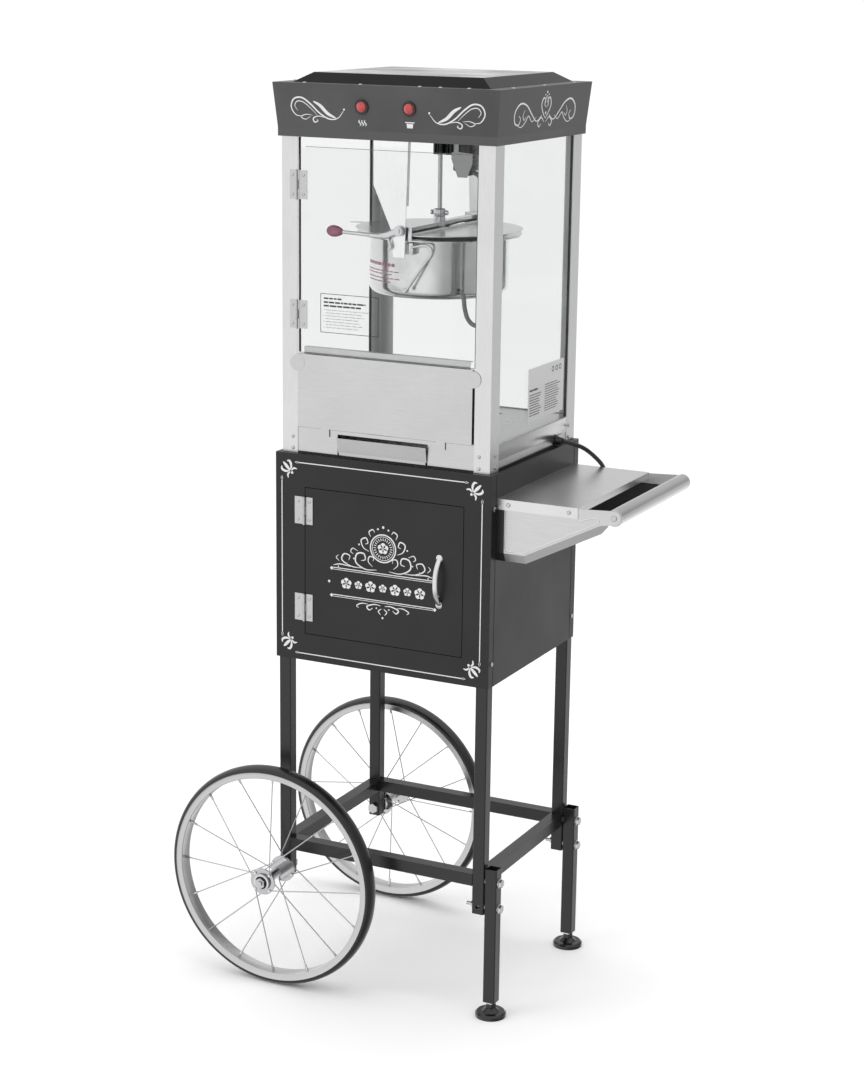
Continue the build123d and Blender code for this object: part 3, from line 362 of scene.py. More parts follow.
SKIRT_HEIGHT = 0.014  # the valance's lower band, painted lighter as painted light
COAT = powder_coat("black_powder_coat", (0.010, 0.010, 0.0105), 0.36, 0.30)
FRAME_COAT = powder_coat("black_frame_coat", (0.009, 0.009, 0.0095), 0.28, 0.42)
ROOF_COAT = powder_coat("black_roof_coat", grey(0.0025), 0.14, 0.06)
# the valance's band below the fold is painted lighter, as painted light
VALANCE_COAT = painted_light_skirt(powder_coat("grey_powder_coat", (0.061, 0.061, 0.063), 0.42, 0.18),
                             VALANCE_LOW.z + SKIRT_HEIGHT, (0.080, 0.080, 0.082))
STEEL_X = brushed_steel("brushed_steel_x", "x", 0.52, 0.26, 0.36)
# bracket steel with painted shade on its undersides, low inner faces and beside the cupboard
BRACKET_STEEL = bracket_painted_shade(brushed_steel("bracket_steel", "x", 0.56, 0.30, 0.42))
# a darker copy of the brushed steel for the crumb drawer, painted shade for its down-facing front
SHADED_DRAWER_STEEL = brushed_steel("drawer_steel_painted_shade", "x", 0.47, 0.30, 0.40)
STEEL_Y = brushed_steel("brushed_steel_y", "y", 0.50, 0.22, 0.32)
SHELF_STEEL = brushed_steel("shelf_steel", "y", 0.64, 0.26, 0.36)
# a darker copy of the brushed steel for the push handle, painted shade
SHADED_HANDLE_STEEL = brushed_steel("handle_steel_painted_shade", "y", 0.48, 0.16, 0.26)
# post steel with its inner faces painted pale as painted light
POST_STEEL = pale_inner_faces_painted_light(brushed_steel("post_steel", "z", 0.61, 0.28, 0.38))
HANGER_STEEL = brushed_steel("hanger_steel", "z", 0.86, 0.26, 0.36)
GUARD_STEEL = brushed_steel("guard_steel", "z", 0.24, 0.24, 0.34)
BEAD_STEEL = brushed_steel("bead_steel", "x", 0.64, 0.2, 0.3)
POT_STEEL = spun_steel()
CHROME = bright_metal("chrome", (0.62, 0.62, 0.63), 0.06, 0.16)
HINGE_STEEL = bright_metal("hinge_steel", grey(0.50), 0.22, 0.40, 90, 0.15)
ZINC = bright_metal("zinc_plate", (0.50, 0.50, 0.51), 0.16, 0.32, 120, 0.12)
SPOKE_STEEL = bright_metal("spoke_steel", (0.46, 0.46, 0.47), 0.08, 0.20, 60, 0.05)
SILVER_RIM = bright_metal("silver_rim", grey(0.53), 0.26, 0.38, 18, 0.06)
TYRE = moulded("tyre_rubber", grey(0.006), 0.33, 0.08)
NYLON = moulded("black_nylon", grey(0.008), 0.30)
BEZEL = moulded("gloss_black", grey(0.002), 0.16, 0.04)
CORD_JACKET = moulded("cord_jacket", (0.007, 0.007, 0.0075), 0.36, 0.18)
LEAD_JACKET = moulded("lead_jacket", grey(0.11), 0.42, 0.25)
# black rubber for gaskets and joints, also used for strips and rings of painted shade
BLACK_RUBBER_AND_SHADE = moulded("black_rubber_and_painted_shade", grey(0.004), 0.6)
MAROON = moulded("maroon_knob", (0.20, 0.045, 0.092), 0.14, 0.03, 0.7)
RED = red_lens()
PANE = clear_pane("clear_pane", 0.957)
DOOR_PANE = clear_pane("door_pane", 0.965)
PANE_EDGE = moulded("pane_edge", (0.10, 0.11, 0.11), 0.2)
FOIL = printed("silver_print", grey(0.72), 0.2)
INK = printed("black_ink", grey(0.02))
GREY_INK = printed("grey_ink", grey(0.33))
STICKER = printed("grey_sticker", grey(0.62))
ROSE_INK = printed("rose_ink", (0.34, 0.13, 0.20))


# ---------------------------------------------------------------- piece makers

def add_piece(name, work, body, material, sharp=35):
    """Turns a bmesh into a piece that rides on a body."""
    mesh = bpy.data.meshes.new(name)
    bmesh.ops.recalc_face_normals(work, faces=work.faces)
    work.to_mesh(mesh)
    work.free()
    mesh.shade_smooth()
    mesh.set_sharp_from_angle(angle=radians(sharp))
    mesh.materials.append(material)
    piece = bpy.data.objects.new(name, mesh)
    scene.collection.objects.link(piece)
    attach(piece, body)
    return piece


def join_rings(work, rings, closed=False):
    """Faces between rings of points; each ring is closed round, and the row of rings may close too."""
    rows = [[work.verts.new(point) for point in ring] for ring in rings]
    pairs = list(zip(rows, rows[1:]))
    if closed:
        pairs.append((rows[-1], rows[0]))
    for one, two in pairs:
        for i in range(len(one)):
            j = (i + 1) % len(one)
            work.faces.new((one[i], one[j], two[j], two[i]))
    if not closed:
        work.faces.new(rows[0])
        work.faces.new(reversed(rows[-1]))


def turned(place, radius, angle, height):
    """A point at a radius, an angle and a height about place's Z axis."""
    return place @ Vector((radius * cos(angle), radius * sin(angle), height))


def lathe(work, profile, place, steps):
    """Turns a closed profile of (radius, height) about place's Z axis."""
    angles = [2 * pi * number / steps for number in range(steps)]
    rings = [[turned(place, radius, angle, height) for radius, height in profile] for angle in angles]
    join_rings(work, rings, closed=True)


def knob_form(work, profile, place, steps):
    """Turns an open profile that starts and ends on the axis."""
    turns = [2 * pi * number / steps for number in range(steps)]
    rows = [[work.verts.new(turned(place, radius, turn, height)) for turn in turns]
            for radius, height in profile[1:-1]]
    low = work.verts.new(place @ Vector((0, 0, profile[0][1])))
    high = work.verts.new(place @ Vector((0, 0, profile[-1][1])))
    for i in range(steps):
        j = (i + 1) % steps
        work.faces.new((low, rows[0][j], rows[0][i]))
        for one, two in zip(rows, rows[1:]):
            work.faces.new((one[i], one[j], two[j], two[i]))
        work.faces.new((high, rows[-1][i], rows[-1][j]))


def rounded_block(work, low, high, edge, steps=2):
    """A box with rounded edges."""
    size = high - low
    place = Matrix.Translation((low + high) / 2) @ Matrix.Diagonal((*size, 1))
    made = bmesh.ops.create_cube(work, size=1, matrix=place)
    edges = list(dict.fromkeys(edge for vert in made["verts"] for edge in vert.link_edges))
    bmesh.ops.bevel(work, geom=edges, offset=edge, segments=steps, affect="EDGES", profile=0.5)


def flanks(low, high):
    """A box's two side faces: which way each one faces, and its X."""
    return (-1, low.x), (1, high.x)


def flank_block(work, side, x, depth, stand_off, y_range, z_range, edge=0.0003):
    """A rounded block on a side face, from its depth inside that face to its stand-off outside."""
    low_x, high_x = sorted((x - side * depth, x + side * stand_off))
    (low_y, high_y), (low_z, high_z) = y_range, z_range
    rounded_block(work, Vector((low_x, low_y, low_z)), Vector((high_x, high_y, high_z)), edge)


def smooth_path(points, steps):
    """A Catmull-Rom line through the points, in any number of dimensions."""
    ends = [points[0] * 2 - points[1], *points, points[-1] * 2 - points[-2]]
    path = []
    for a, b, c, d in zip(ends, ends[1:], ends[2:], ends[3:]):
        for number in range(steps):
            t = number / steps
            path.append(0.5 * (2 * b + (c - a) * t + (2 * a - 5 * b + 4 * c - d) * t * t
                               + (3 * b - a - 3 * c + d) * t**3))
    return [*path, points[-1]]


def curved(points, steps):
    """A smooth line through points in millimetres about the cupboard's middle plane."""
    return smooth_path([at(*point) for point in points], steps)


def sweep(work, path, across, wide, thick=None, sides=16, ends=None):
    """Sweeps an oval along a path: wide is the half size along `across`, thick the other half size."""
    thick = wide if thick is None else thick
    rings = []
    for number, point in enumerate(path):
        before, after = path[max(number - 1, 0)], path[min(number + 1, len(path) - 1)]
        forward = (after - before).normalized()
        side = (across - across.dot(forward) * forward).normalized()
        other = forward.cross(side)
        share = 1.0 if ends is None else ends(number / (len(path) - 1))
        rings.append([point + share * (wide * cos(turn) * side + thick * sin(turn) * other)
                      for turn in (2 * pi * k / sides for k in range(sides))])
    join_rings(work, rings)


# ---------------------------------------------------------------- power cord

CORD_D = 0.0076
LEAD = [(210, 100, 972), (236, 111, 966), (252, 134, 947), (262, 172, 916), (252, 202, 872), (222, 221, 836),
        (176, 221.5, 811), (130, 219.5, 807)]
TAIL = [(78, 187.2, 765), (77, 189.2, 732), (81, 192.2, 700)]
COIL_CENTRE = (120, 765)
COIL_R = 42
COIL_TURNS = 4.25
COIL_STEPS = 16  # control points to a turn
COIL_START_Y = 219.5
COIL_PITCH = 7.6


def coil_points():
    """The coil's control points from its top, a little outside it, because the spline cuts inside them."""
    step = 2 * pi / COIL_STEPS
    reach = COIL_R / (0.75 + 0.25 * cos(step))
    points = []
    for number in range(int(COIL_TURNS * COIL_STEPS)):
        angle = pi / 2 + number * step
        y = COIL_START_Y - COIL_PITCH * number / COIL_STEPS
        points.append((COIL_CENTRE[0] + reach * cos(angle), y, COIL_CENTRE[1] + reach * sin(angle)))
    return points


def make_cord():
    route = [at(*point) for point in LEAD + coil_points() + TAIL]
    curve = bpy.data.curves.new("mains_cord", "CURVE")
    curve.dimensions = "3D"
    curve.bevel_depth = CORD_D / 2
    curve.bevel_resolution = 5
    curve.resolution_u = 6
    curve.use_fill_caps = True
    spline = curve.splines.new("NURBS")
    spline.points.add(len(route) - 1)
    for control, point in zip(spline.points, route):
        control.co = (*point, 1)
    spline.order_u = 3
    spline.use_endpoint_u = True
    curve.materials.append(CORD_JACKET)
    cord = bpy.data.objects.new("mains_cord", curve)
    scene.collection.objects.link(cord)
    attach(cord, "cart")
    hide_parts("power_cord", "cord_coil")
    tuple(at(*LEAD[0]))


make_cord()


# ---------------------------------------------------------------- materials of the CAD pieces

CAD_MATERIALS = {
    COAT: "cupboard_front cupboard_back cupboard_sides cupboard_top cupboard_floor cupboard_door",
    FRAME_COAT: "front_left_leg front_right_leg rear_left_leg rear_right_leg cross_rails side_rails "
                "leg_extensions",
    ROOF_COAT: "roof_cover",
    VALANCE_COAT: "valance",
    STEEL_X: "machine_base popcorn_floor door_rail ceiling_plate baffle",
    BRACKET_STEEL: "shelf_brackets",
    SHADED_DRAWER_STEEL: "crumb_drawer",
    SHELF_STEEL: "shelf_plate",
    SHADED_HANDLE_STEEL: "push_handle",
    POST_STEEL: "corner_posts",
    HANGER_STEEL: "kettle_hangers",
    POT_STEEL: "kettle_pot left_lid right_lid",
    CHROME: "kettle_crossbar",
    HINGE_STEEL: "fixed_hinge_leaves cupboard_hinge_leaves door_hinge_leaves",
    ZINC: "frame_bolts case_screws gearmotor",
    SPOKE_STEEL: "front_wheel_hub rear_wheel_hub",
    NYLON: "drive_gear mains_plug",
    BEZEL: "button_bezels",
    RED: "warm_button kettle_button",
    PANE: "side_windows rear_window",
    DOOR_PANE: "machine_door",
    CORD_JACKET: "cord_bush cord_tie",
}


NYLON_BLACK = grey(0.008)
FOOT_NYLON_TOP = 0.024  # the levelling foot's nylon base ends at this height


def part_metal(name, steel, limit, steel_above):
    """Steel on one side of a height and black nylon on the other."""
    material = bright_metal(name, steel, 0.14, 0.28)
    top = above(material, limit)
    return overlay(material, opposite(material, top) if steel_above else top, NYLON_BLACK)


def dress(name, material):
    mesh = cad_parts[name].data
    mesh.materials.clear()
    mesh.materials.append(material)


def dress_cad():
    for material, names in CAD_MATERIALS.items():
        for name in names.split():
            dress(name, material)
    under_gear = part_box("drive_gear")[0].z - 0.0005
    dress("stirrer", part_metal("stirrer_steel", grey(0.50), under_gear, False))
    foot_metal = part_metal("foot_nylon", grey(0.62), FOOT_NYLON_TOP, True)
    dress("front_foot", foot_metal)
    dress("rear_foot", foot_metal)


dress_cad()


# ---------------------------------------------------------------- wheels

WHEEL_X, WHEEL_Z = -189, 203
WHEEL_Y = 225
SPOKES = 16
RIM_R = 182
FLANGE = 35


def wheel_place(side):
    """The wheel's own frame: Z along the axle, towards the outside."""
    turn = Matrix.Rotation(radians(-90 * side), 4, "X")
    return Matrix.Translation(at(WHEEL_X, side * WHEEL_Y, WHEEL_Z)) @ turn


def tyre_profile():
    """The solid tyre's section: rim seat, rounded shoulders and crown."""
    points = [(0.1952, 0.0118), (0.1845, 0.0118), (0.1845, -0.0118), (0.1952, -0.0118)]
    for number in range(21):
        angle = -pi / 2 + pi * number / 20
        points.append((0.1935 + 0.0094 * max(0.0, cos(angle))**0.75, 0.0149 * sin(angle)))
    return points


def rim_profile():
    """The rim's section: rolled outer lips, flat side faces and a shallow inner well."""
    half = [(0.1943, 0.0121), (0.1949, 0.0130), (0.1944, 0.0139), (0.1935, 0.0140), (0.1927, 0.0134),
            (0.1915, 0.0131), (0.1832, 0.0133), (0.1822, 0.0126), (0.1821, 0.0112), (0.1828, 0.0085),
            (0.1832, 0.0)]
    other = [(radius, -height) for radius, height in reversed(half[:-1])]
    seat = [(0.1841, -0.0120), (0.1841, 0.0120)]
    return half + other + seat


def spoke_ends(number):
    """Where a spoke leaves the hub and where it meets the rim, in the wheel's frame."""
    side = 1 if number % 2 == 0 else -1
    leads = number // 2 % 2 == 0
    step = 2 * pi / SPOKES
    rim_angle = number * step
    hub_angle = rim_angle - 2 * step if leads else rim_angle + 2 * step
    head = side * FLANGE + (2.6 if leads else -2.6)
    start = Vector((20 * cos(hub_angle), 20 * sin(hub_angle), head)) * MM
    return start, Vector((RIM_R * cos(rim_angle), RIM_R * sin(rim_angle), 0)) * MM


def nipple(work, place, number):
    """The nut that holds a spoke in the rim."""
    start, end = spoke_ends(number)
    inward = (start - end).normalized()
    path = [place @ (end + inward * reach * MM) for reach in (-1.5, 3, 9, 11)]
    across = (place.to_3x3() @ Z_AXIS).normalized()
    sweep(work, path, across, 0.0021, sides=8, ends=lambda t: 1.15 - 0.4 * t)


def hub_detail(work, place):
    """Spoke heads on both flanges, and the dished cap round the axle at each end."""
    for number in range(SPOKES):
        start = spoke_ends(number)[0]
        outward = Vector((0, 0, 1 if start.z > 0 else -1))
        if abs(start.z) < FLANGE * MM:
            outward = -outward
        path = [place @ (start - outward * 0.0012), place @ (start + outward * 0.0014)]
        sweep(work, path, (place.to_3x3() @ X_AXIS).normalized(), 0.0023, sides=10)
    for side in (-1, 1):
        rows = [(0.0075, 0.0392), (0.0145, 0.0392), (0.0152, 0.0402), (0.0148, 0.0412), (0.0118, 0.0418),
                (0.0108, 0.0408), (0.0085, 0.0406), (0.0075, 0.0398)]
        lathe(work, [(radius, side * height) for radius, height in rows], place, 48)


def hub_shade_ring(work, place):
    # a black ring round the axle at each end of the hub, painted shade of the bore
    for side in (-1, 1):
        rows = [(0.0082, 0.0404), (0.0108, 0.0404), (0.0110, 0.0414), (0.0096, 0.0420), (0.0082, 0.0416)]
        lathe(work, [(radius, side * height) for radius, height in rows], place, 40)


def make_wheel(name, side):
    body = f"{name}_wheel"
    place = wheel_place(side)
    work = bmesh.new()
    lathe(work, tyre_profile(), place, 160)
    tyre = add_piece(f"{name}_tyre_body", work, body, TYRE, 40)
    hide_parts(f"{name}_wheel_tyre")
    work = bmesh.new()
    lathe(work, rim_profile(), place, 160)
    rim = add_piece(f"{name}_rim_hoop", work, body, SILVER_RIM, 30)
    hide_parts(f"{name}_wheel_rim")
    work = bmesh.new()
    for number in range(SPOKES):
        nipple(work, place, number)
    hub_detail(work, place)
    add_piece(f"{name}_hub_trim", work, body, CHROME)
    work = bmesh.new()
    hub_shade_ring(work, place)
    add_piece(f"{name}_hub_shade_ring", work, body, BLACK_RUBBER_AND_SHADE)


make_wheel("front", -1)
make_wheel("rear", 1)


# ---------------------------------------------------------------- flat ornament

PRINT_LIFT = 0.00022  # how far printed marks stand off the sheet
PRINT_SINK = 0.00002  # how far their backs lie inside it


class Sheet:
    """A flat face to draw on, in millimetres: u to the right, v upwards, and the side that faces out."""

    def __init__(self, origin, right, up):
        self.origin, self.right, self.up = origin, right.normalized(), up.normalized()
        self.out = self.right.cross(self.up).normalized()

    def point(self, u, v, lift):
        return self.origin + self.right * u * MM + self.up * v * MM + self.out * lift


def slab(work, sheet, outline, lift=PRINT_LIFT):
    """A thin closed plate from a flat outline of (u, v) points."""
    low = [sheet.point(u, v, -PRINT_SINK) for u, v in outline]
    high = [sheet.point(u, v, lift) for u, v in outline]
    join_rings(work, [low, high])


def stroke(work, sheet, points, width, mirror=False, steps=7):
    """A pen stroke along a smooth line, thin at both ends and widest in its middle; it may be drawn twice."""
    path = smooth_path([Vector(point) for point in points], steps)
    for flip in ((1, -1) if mirror else (1,)):
        rings = []
        for number, here in enumerate(path):
            before, after = path[max(number - 1, 0)], path[min(number + 1, len(path) - 1)]
            along = (after - before).normalized()
            half = width / 2 * (0.28 + 0.72 * sin(pi * number / (len(path) - 1))**0.8)
            side = Vector((-along.y, along.x)) * half
            ring = [(here + side, -PRINT_SINK), (here + side, PRINT_LIFT), (here - side, PRINT_LIFT),
                    (here - side, -PRINT_SINK)]
            rings.append([sheet.point(flip * spot.x, spot.y, lift) for spot, lift in ring])
        join_rings(work, rings)


def disc(work, sheet, u, v, radius, mirror=False, corners=20, turn=0.0, squash=1.0):
    """A filled dot, or a diamond with 4 corners."""
    for flip in ((1, -1) if mirror else (1,)):
        outline = [(flip * u + radius * cos(turn + 2 * pi * k / corners),
                    v + squash * radius * sin(turn + 2 * pi * k / corners)) for k in range(corners)]
        slab(work, sheet, outline)


def hoop(work, sheet, u, v, radius, width, corners=48):
    """A flat ring."""
    rings = []
    for k in range(corners):
        turn = 2 * pi * k / corners
        ring = []
        inner, outer = radius - width / 2, radius + width / 2
        for reach, lift in ((inner, 0), (inner, PRINT_LIFT), (outer, PRINT_LIFT), (outer, 0)):
            ring.append(sheet.point(u + reach * cos(turn), v + reach * sin(turn), lift - 0.00001))
        rings.append(ring)
    join_rings(work, rings, closed=True)


def rule(work, sheet, start, end, width):
    """A straight bar between two points."""
    a, b = Vector(start), Vector(end)
    side = Vector((-(b - a).y, (b - a).x)).normalized() * width / 2
    slab(work, sheet, [a + side, b + side, b - side, a - side])


VALANCE_LEAN = 6.7 / 74  # how far the valance leans out for each millimetre up
SCROLL_Z = 1543
BUTTON_MARK_Z = 1524
CREST_Z = 1546
FOLD_Z = 1511
FOLD_Y = 177.6  # the valance's front face at its fold
FOLD_X = 201.0  # its side face there


def valance_scroll(work, sheet, flip):
    """A flowing flourish with a curl at its outer end and a pointed tail towards the buttons."""
    lines = [([(-28, -12), (-41, -10), (-49, 3), (-43, 16), (-28, 18), (-12, 8), (4, -6), (22, -15),
               (38, -13), (49, -1)], 2.6),
             ([(-37, -3), (-42, 5), (-37, 12), (-26, 11), (-13, 2), (-1, -9)], 1.5),
             ([(-7, 13), (6, 6), (19, -6), (34, -13)], 5.6),
             ([(15, -13), (1, -11), (-8, -15), (-6, -21), (0, -19), (-1, -16)], 2.0),
             ([(-9, -10), (-21, -9), (-31, -13), (-23, -17), (-13, -12)], 1.4)]
    for points, width in lines:
        stroke(work, sheet, [(flip * u, v) for u, v in points], width)
    disc(work, sheet, flip * 50, 1.5, 1.7)


def side_scroll(work, sheet):
    """A symmetrical crest of paired curls, as wide as two thirds of the side."""
    lines = [([(0, -14), (9, -6), (19, 8), (13, 20), (4, 15), (8, 8)], 2.6),
             ([(3, -20), (16, -12), (28, -20), (22, -27), (15, -22)], 2.4),
             ([(14, -8), (34, -17), (54, -6), (78, 10), (103, 14), (122, 2), (121, -15), (106, -20),
               (99, -11), (106, -5)], 3.0),
             ([(36, -10), (52, -17), (68, -7), (78, -16), (94, -24), (112, -20)], 1.8),
             ([(84, 4), (90, -6), (84, -13), (78, -8)], 1.7),
             ([(1, 4), (7, 10), (3, 20), (0, 24)], 2.0)]
    for points, width in lines:
        stroke(work, sheet, points, width, mirror=True)
    disc(work, sheet, 0, 29, 2.2)
    disc(work, sheet, 7, 25, 1.5, mirror=True)
    disc(work, sheet, 0, -5, 2.4)


def heat_mark(work, sheet, u, v):
    """Three short rising waves."""
    for shift in (-5, 0, 5):
        middle = u + shift
        points = [(middle, v - 5), (middle + 1.8, v - 2), (middle - 1.8, v + 2), (middle, v + 5)]
        stroke(work, sheet, points, 1.9, steps=5)


def pot_mark(work, sheet, u, v):
    """A plain open pot with two lugs."""
    slab(work, sheet, [(u - 6, v + 2), (u - 5, v - 5), (u + 5, v - 5), (u + 6, v + 2)])
    rule(work, sheet, (u - 8.5, v + 4), (u + 8.5, v + 4), 1.7)


def make_valance_print():
    lean_up = Vector((0, -VALANCE_LEAN, 1))

    def front_sheet(x, z):
        return Sheet(at(x, -(FOLD_Y + (z - FOLD_Z) * VALANCE_LEAN), z), X_AXIS, lean_up)

    work = bmesh.new()
    for x, flip in ((-124.5, 1), (131, -1)):
        valance_scroll(work, front_sheet(x, SCROLL_Z), flip)
    buttons = front_sheet(0, BUTTON_MARK_Z)
    heat_mark(work, buttons, -41, 0)
    pot_mark(work, buttons, 45.5, 0)
    crest_x = FOLD_X + (CREST_Z - FOLD_Z) * VALANCE_LEAN
    for side in (-1, 1):
        crest = Sheet(at(side * crest_x, 3, CREST_Z), Vector((0, side, 0)),
                      Vector((side * VALANCE_LEAN, 0, 1)))
        side_scroll(work, crest)
    add_piece("valance_print", work, "cart", FOIL)


make_valance_print()

TRIM_LEFT, TRIM_RIGHT, TRIM_LOW, TRIM_HIGH = -193, 188, 608, 947
TRIM_CORNER = 26  # how much of each side a corner flower takes
FLOWER_IN = 12  # from the side lines to a corner flower's middle
FLOWER_RISE = {TRIM_LOW: 17, TRIM_HIGH: 11}  # the same from the lower and upper line
FLOWER_TURN = {(1, 1): 225, (-1, 1): 315, (1, -1): 135, (-1, -1): 45}


def corner_flower(work, sheet, u, v, towards):
    """A three-leaved flower in a corner of the trim line, pointing along the angle `towards`."""
    class Turned:
        """The same sheet, turned and moved."""

        def point(self, a, b, lift):
            return sheet.point(u + a * sin(towards) + b * cos(towards),
                               v - a * cos(towards) + b * sin(towards), lift)

    corner = Turned()
    stroke(work, corner, [(0, -6), (0, 4), (0, 13)], 5.5)
    stroke(work, corner, [(1.5, -6), (8, -1), (10.5, 6), (7, 10)], 4.2, mirror=True)
    stroke(work, corner, [(1.5, -8), (8, -8), (12, -13)], 3.2, mirror=True)
    disc(work, corner, 0, -11.5, 2.3)


def make_cart_print():
    """The silver line round the cupboard's front with a flower in each corner."""
    sheet = Sheet(Vector((MID_X, FRONT_Y, 0)), X_AXIS, Z_AXIS)
    work = bmesh.new()
    for x, towards_x in ((TRIM_LEFT, 1), (TRIM_RIGHT, -1)):
        rule(work, sheet, (x, TRIM_LOW + TRIM_CORNER), (x, TRIM_HIGH - TRIM_CORNER), 1.7)
        for z, towards_z in ((TRIM_LOW, 1), (TRIM_HIGH, -1)):
            near = z + towards_z * (TRIM_CORNER + 4)
            disc(work, sheet, x, near, 1.9, squash=1.8)
            disc(work, sheet, x + towards_x * (TRIM_CORNER + 4), z, 1.9)
            angle = FLOWER_TURN[(towards_x, towards_z)]
            corner_flower(work, sheet, x + towards_x * FLOWER_IN, z + towards_z * FLOWER_RISE[z],
                          radians(angle))
    for z in (TRIM_LOW, TRIM_HIGH):
        rule(work, sheet, (TRIM_LEFT + TRIM_CORNER, z), (TRIM_RIGHT - TRIM_CORNER, z), 1.7)
    add_piece("cupboard_trim", work, "cart", FOIL)


make_cart_print()

EMBLEM_X, EMBLEM_Z = 4, 745
MEDALLION_V = 70  # the medallion's middle above the emblem's


def puff(work, sheet, u, v, size):
    """A popped kernel: five rounded lobes round a middle."""
    for k in range(5):
        turn = pi / 2 + 2 * pi * k / 5
        disc(work, sheet, u + 0.52 * size * cos(turn), v + 0.48 * size * sin(turn), 0.42 * size)
    hoop(work, sheet, u, v, 0.24 * size, 0.1 * size, 20)


def emblem_scrolls(work, sheet):
    """Curls stacked up each side of the medallion, and the short crest under the lower rule."""
    lines = [([(12, 31), (34, 30), (52, 40), (50, 55), (37, 57), (34, 47), (42, 44)], 2.6),
             ([(40, 31), (62, 32), (79, 41), (75, 52), (64, 50), (66, 42)], 2.3),
             ([(62, 31), (82, 33), (96, 30)], 2.0),
             ([(20, 36), (28, 44), (26, 53), (18, 52), (19, 46)], 2.0),
             ([(27, 62), (38, 68), (42, 80), (33, 85), (29, 77), (34, 74)], 2.3),
             ([(48, 60), (58, 64), (62, 58), (57, 54)], 1.8),
             ([(24, 88), (27, 96), (20, 101), (16, 96)], 2.0),
             ([(84, 38), (90, 44), (86, 49)], 1.6),
             ([(4, -31), (16, -30), (30, -35), (26, -41), (19, -37)], 2.3),
             ([(28, -31), (40, -31), (50, -36), (46, -40)], 1.9),
             ([(2, -36), (8, -41), (4, -47)], 2.0)]
    for points, width in lines:
        stroke(work, sheet, points, width, mirror=True)
    for u, v, radius in ((46, 72, 1.6), (56, 46, 1.4), (10, 103, 1.7), (70, 36, 1.2), (12, -36, 1.4),
                         (86, 28.5, 1.2)):
        disc(work, sheet, u, v, radius, mirror=True)
    disc(work, sheet, 0, 107, 2.2)
    disc(work, sheet, 0, -52, 1.8)


def make_emblem():
    """Generic scrollwork over a banner of popped kernels, in place of the printed name and badge."""
    sheet = Sheet(at(EMBLEM_X, 0, EMBLEM_Z), X_AXIS, Z_AXIS)
    sheet.origin.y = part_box("cupboard_door")[0].y
    work = bmesh.new()
    emblem_scrolls(work, sheet)
    for v in (24, -24):
        rule(work, sheet, (-96, v + 1.6), (96, v + 1.6), 1.5)
        rule(work, sheet, (-96, v - 1.6), (96, v - 1.6), 0.9)
        disc(work, sheet, 99, v, 3.4, mirror=True, corners=4)
    disc(work, sheet, 104, 0, 2.8, mirror=True, corners=4)
    for number in range(7):
        puff(work, sheet, (number - 3) * 23.5, 0, 11.0 if number % 2 == 0 else 8.0)
    hoop(work, sheet, 0, MEDALLION_V, 24, 2.2)
    hoop(work, sheet, 0, MEDALLION_V, 20.5, 0.9)
    for k in range(24):
        turn = 2 * pi * k / 24
        start, end = ((reach * cos(turn), MEDALLION_V + reach * sin(turn)) for reach in (13.5, 18))
        rule(work, sheet, start, end, 1.3)
    puff(work, sheet, 0, MEDALLION_V, 11)
    add_piece("door_emblem", work, "cupboard_door", FOIL)


make_emblem()


# ---------------------------------------------------------------- cupboard door and hinges

HANDLE_X = 111
HANDLE_LOW, HANDLE_HIGH = 727, 815
HANDLE_REACH = 20


def make_cupboard_handle():
    """The chromed bow: an oval bar bent to an arch, with a round foot at each end."""
    middle = (HANDLE_LOW + HANDLE_HIGH) / 2
    half = (HANDLE_HIGH - HANDLE_LOW) / 2
    path = []
    for number in range(41):
        share = -1 + 2 * number / 40
        reach = (HANDLE_REACH - 2.4) * (1 - abs(share)**2.3)
        path.append(at(HANDLE_X, -181.3 - reach, middle + share * (half - 3)))
    work = bmesh.new()
    sweep(work, path, X_AXIS, 0.0046, 0.0023, sides=20)
    for z in (HANDLE_LOW + 3.4, HANDLE_HIGH - 3.4):
        foot = Matrix.Translation(at(HANDLE_X, -181.6, z)) @ Matrix.Rotation(radians(90), 4, "X")
        lathe(work, [(0.0004, 0.0), (0.0062, 0.0), (0.0062, 0.0012), (0.0050, 0.0022), (0.0004, 0.0026)],
              foot, 28)
    bow = add_piece("handle_bow", work, "cupboard_door", CHROME, 50)
    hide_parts("cupboard_handle")


make_cupboard_handle()


def dome(work, place, outward, radius, height=0.0011):
    """A low domed rivet or screw head with a ring groove round it."""
    turn = outward.to_track_quat("Z", "Y").to_matrix().to_4x4()
    profile = [(0, -0.0001), (radius, -0.0001), (radius, height * 0.35), (radius * 0.82, height * 0.8),
               (radius * 0.45, height), (0, height * 1.02)]
    knob_form(work, profile, Matrix.Translation(place) @ turn, 20)


def make_hinge_rivets():
    fixed, cupboard, case = bmesh.new(), bmesh.new(), bmesh.new()
    for door, bottoms, y, fixed_x, door_x in ((cupboard, (668, 840), -182.8, -160.5, -138.6),
                                              (case, (1177, 1394), -174.0, -175.8, -154.6)):
        for z in (bottom + rise for bottom in bottoms for rise in (8, 40)):
            dome(fixed, at(fixed_x, y, z), -Y_AXIS, 0.0028)
            dome(door, at(door_x, y, z), -Y_AXIS, 0.0028)
    add_piece("fixed_rivets", fixed, "cart", ZINC)
    add_piece("cupboard_door_rivets", cupboard, "cupboard_door", ZINC)
    add_piece("machine_door_rivets", case, "machine_door", ZINC)


make_hinge_rivets()


SEAMS_BEHIND_FRONT = (0.018, 0.3446)


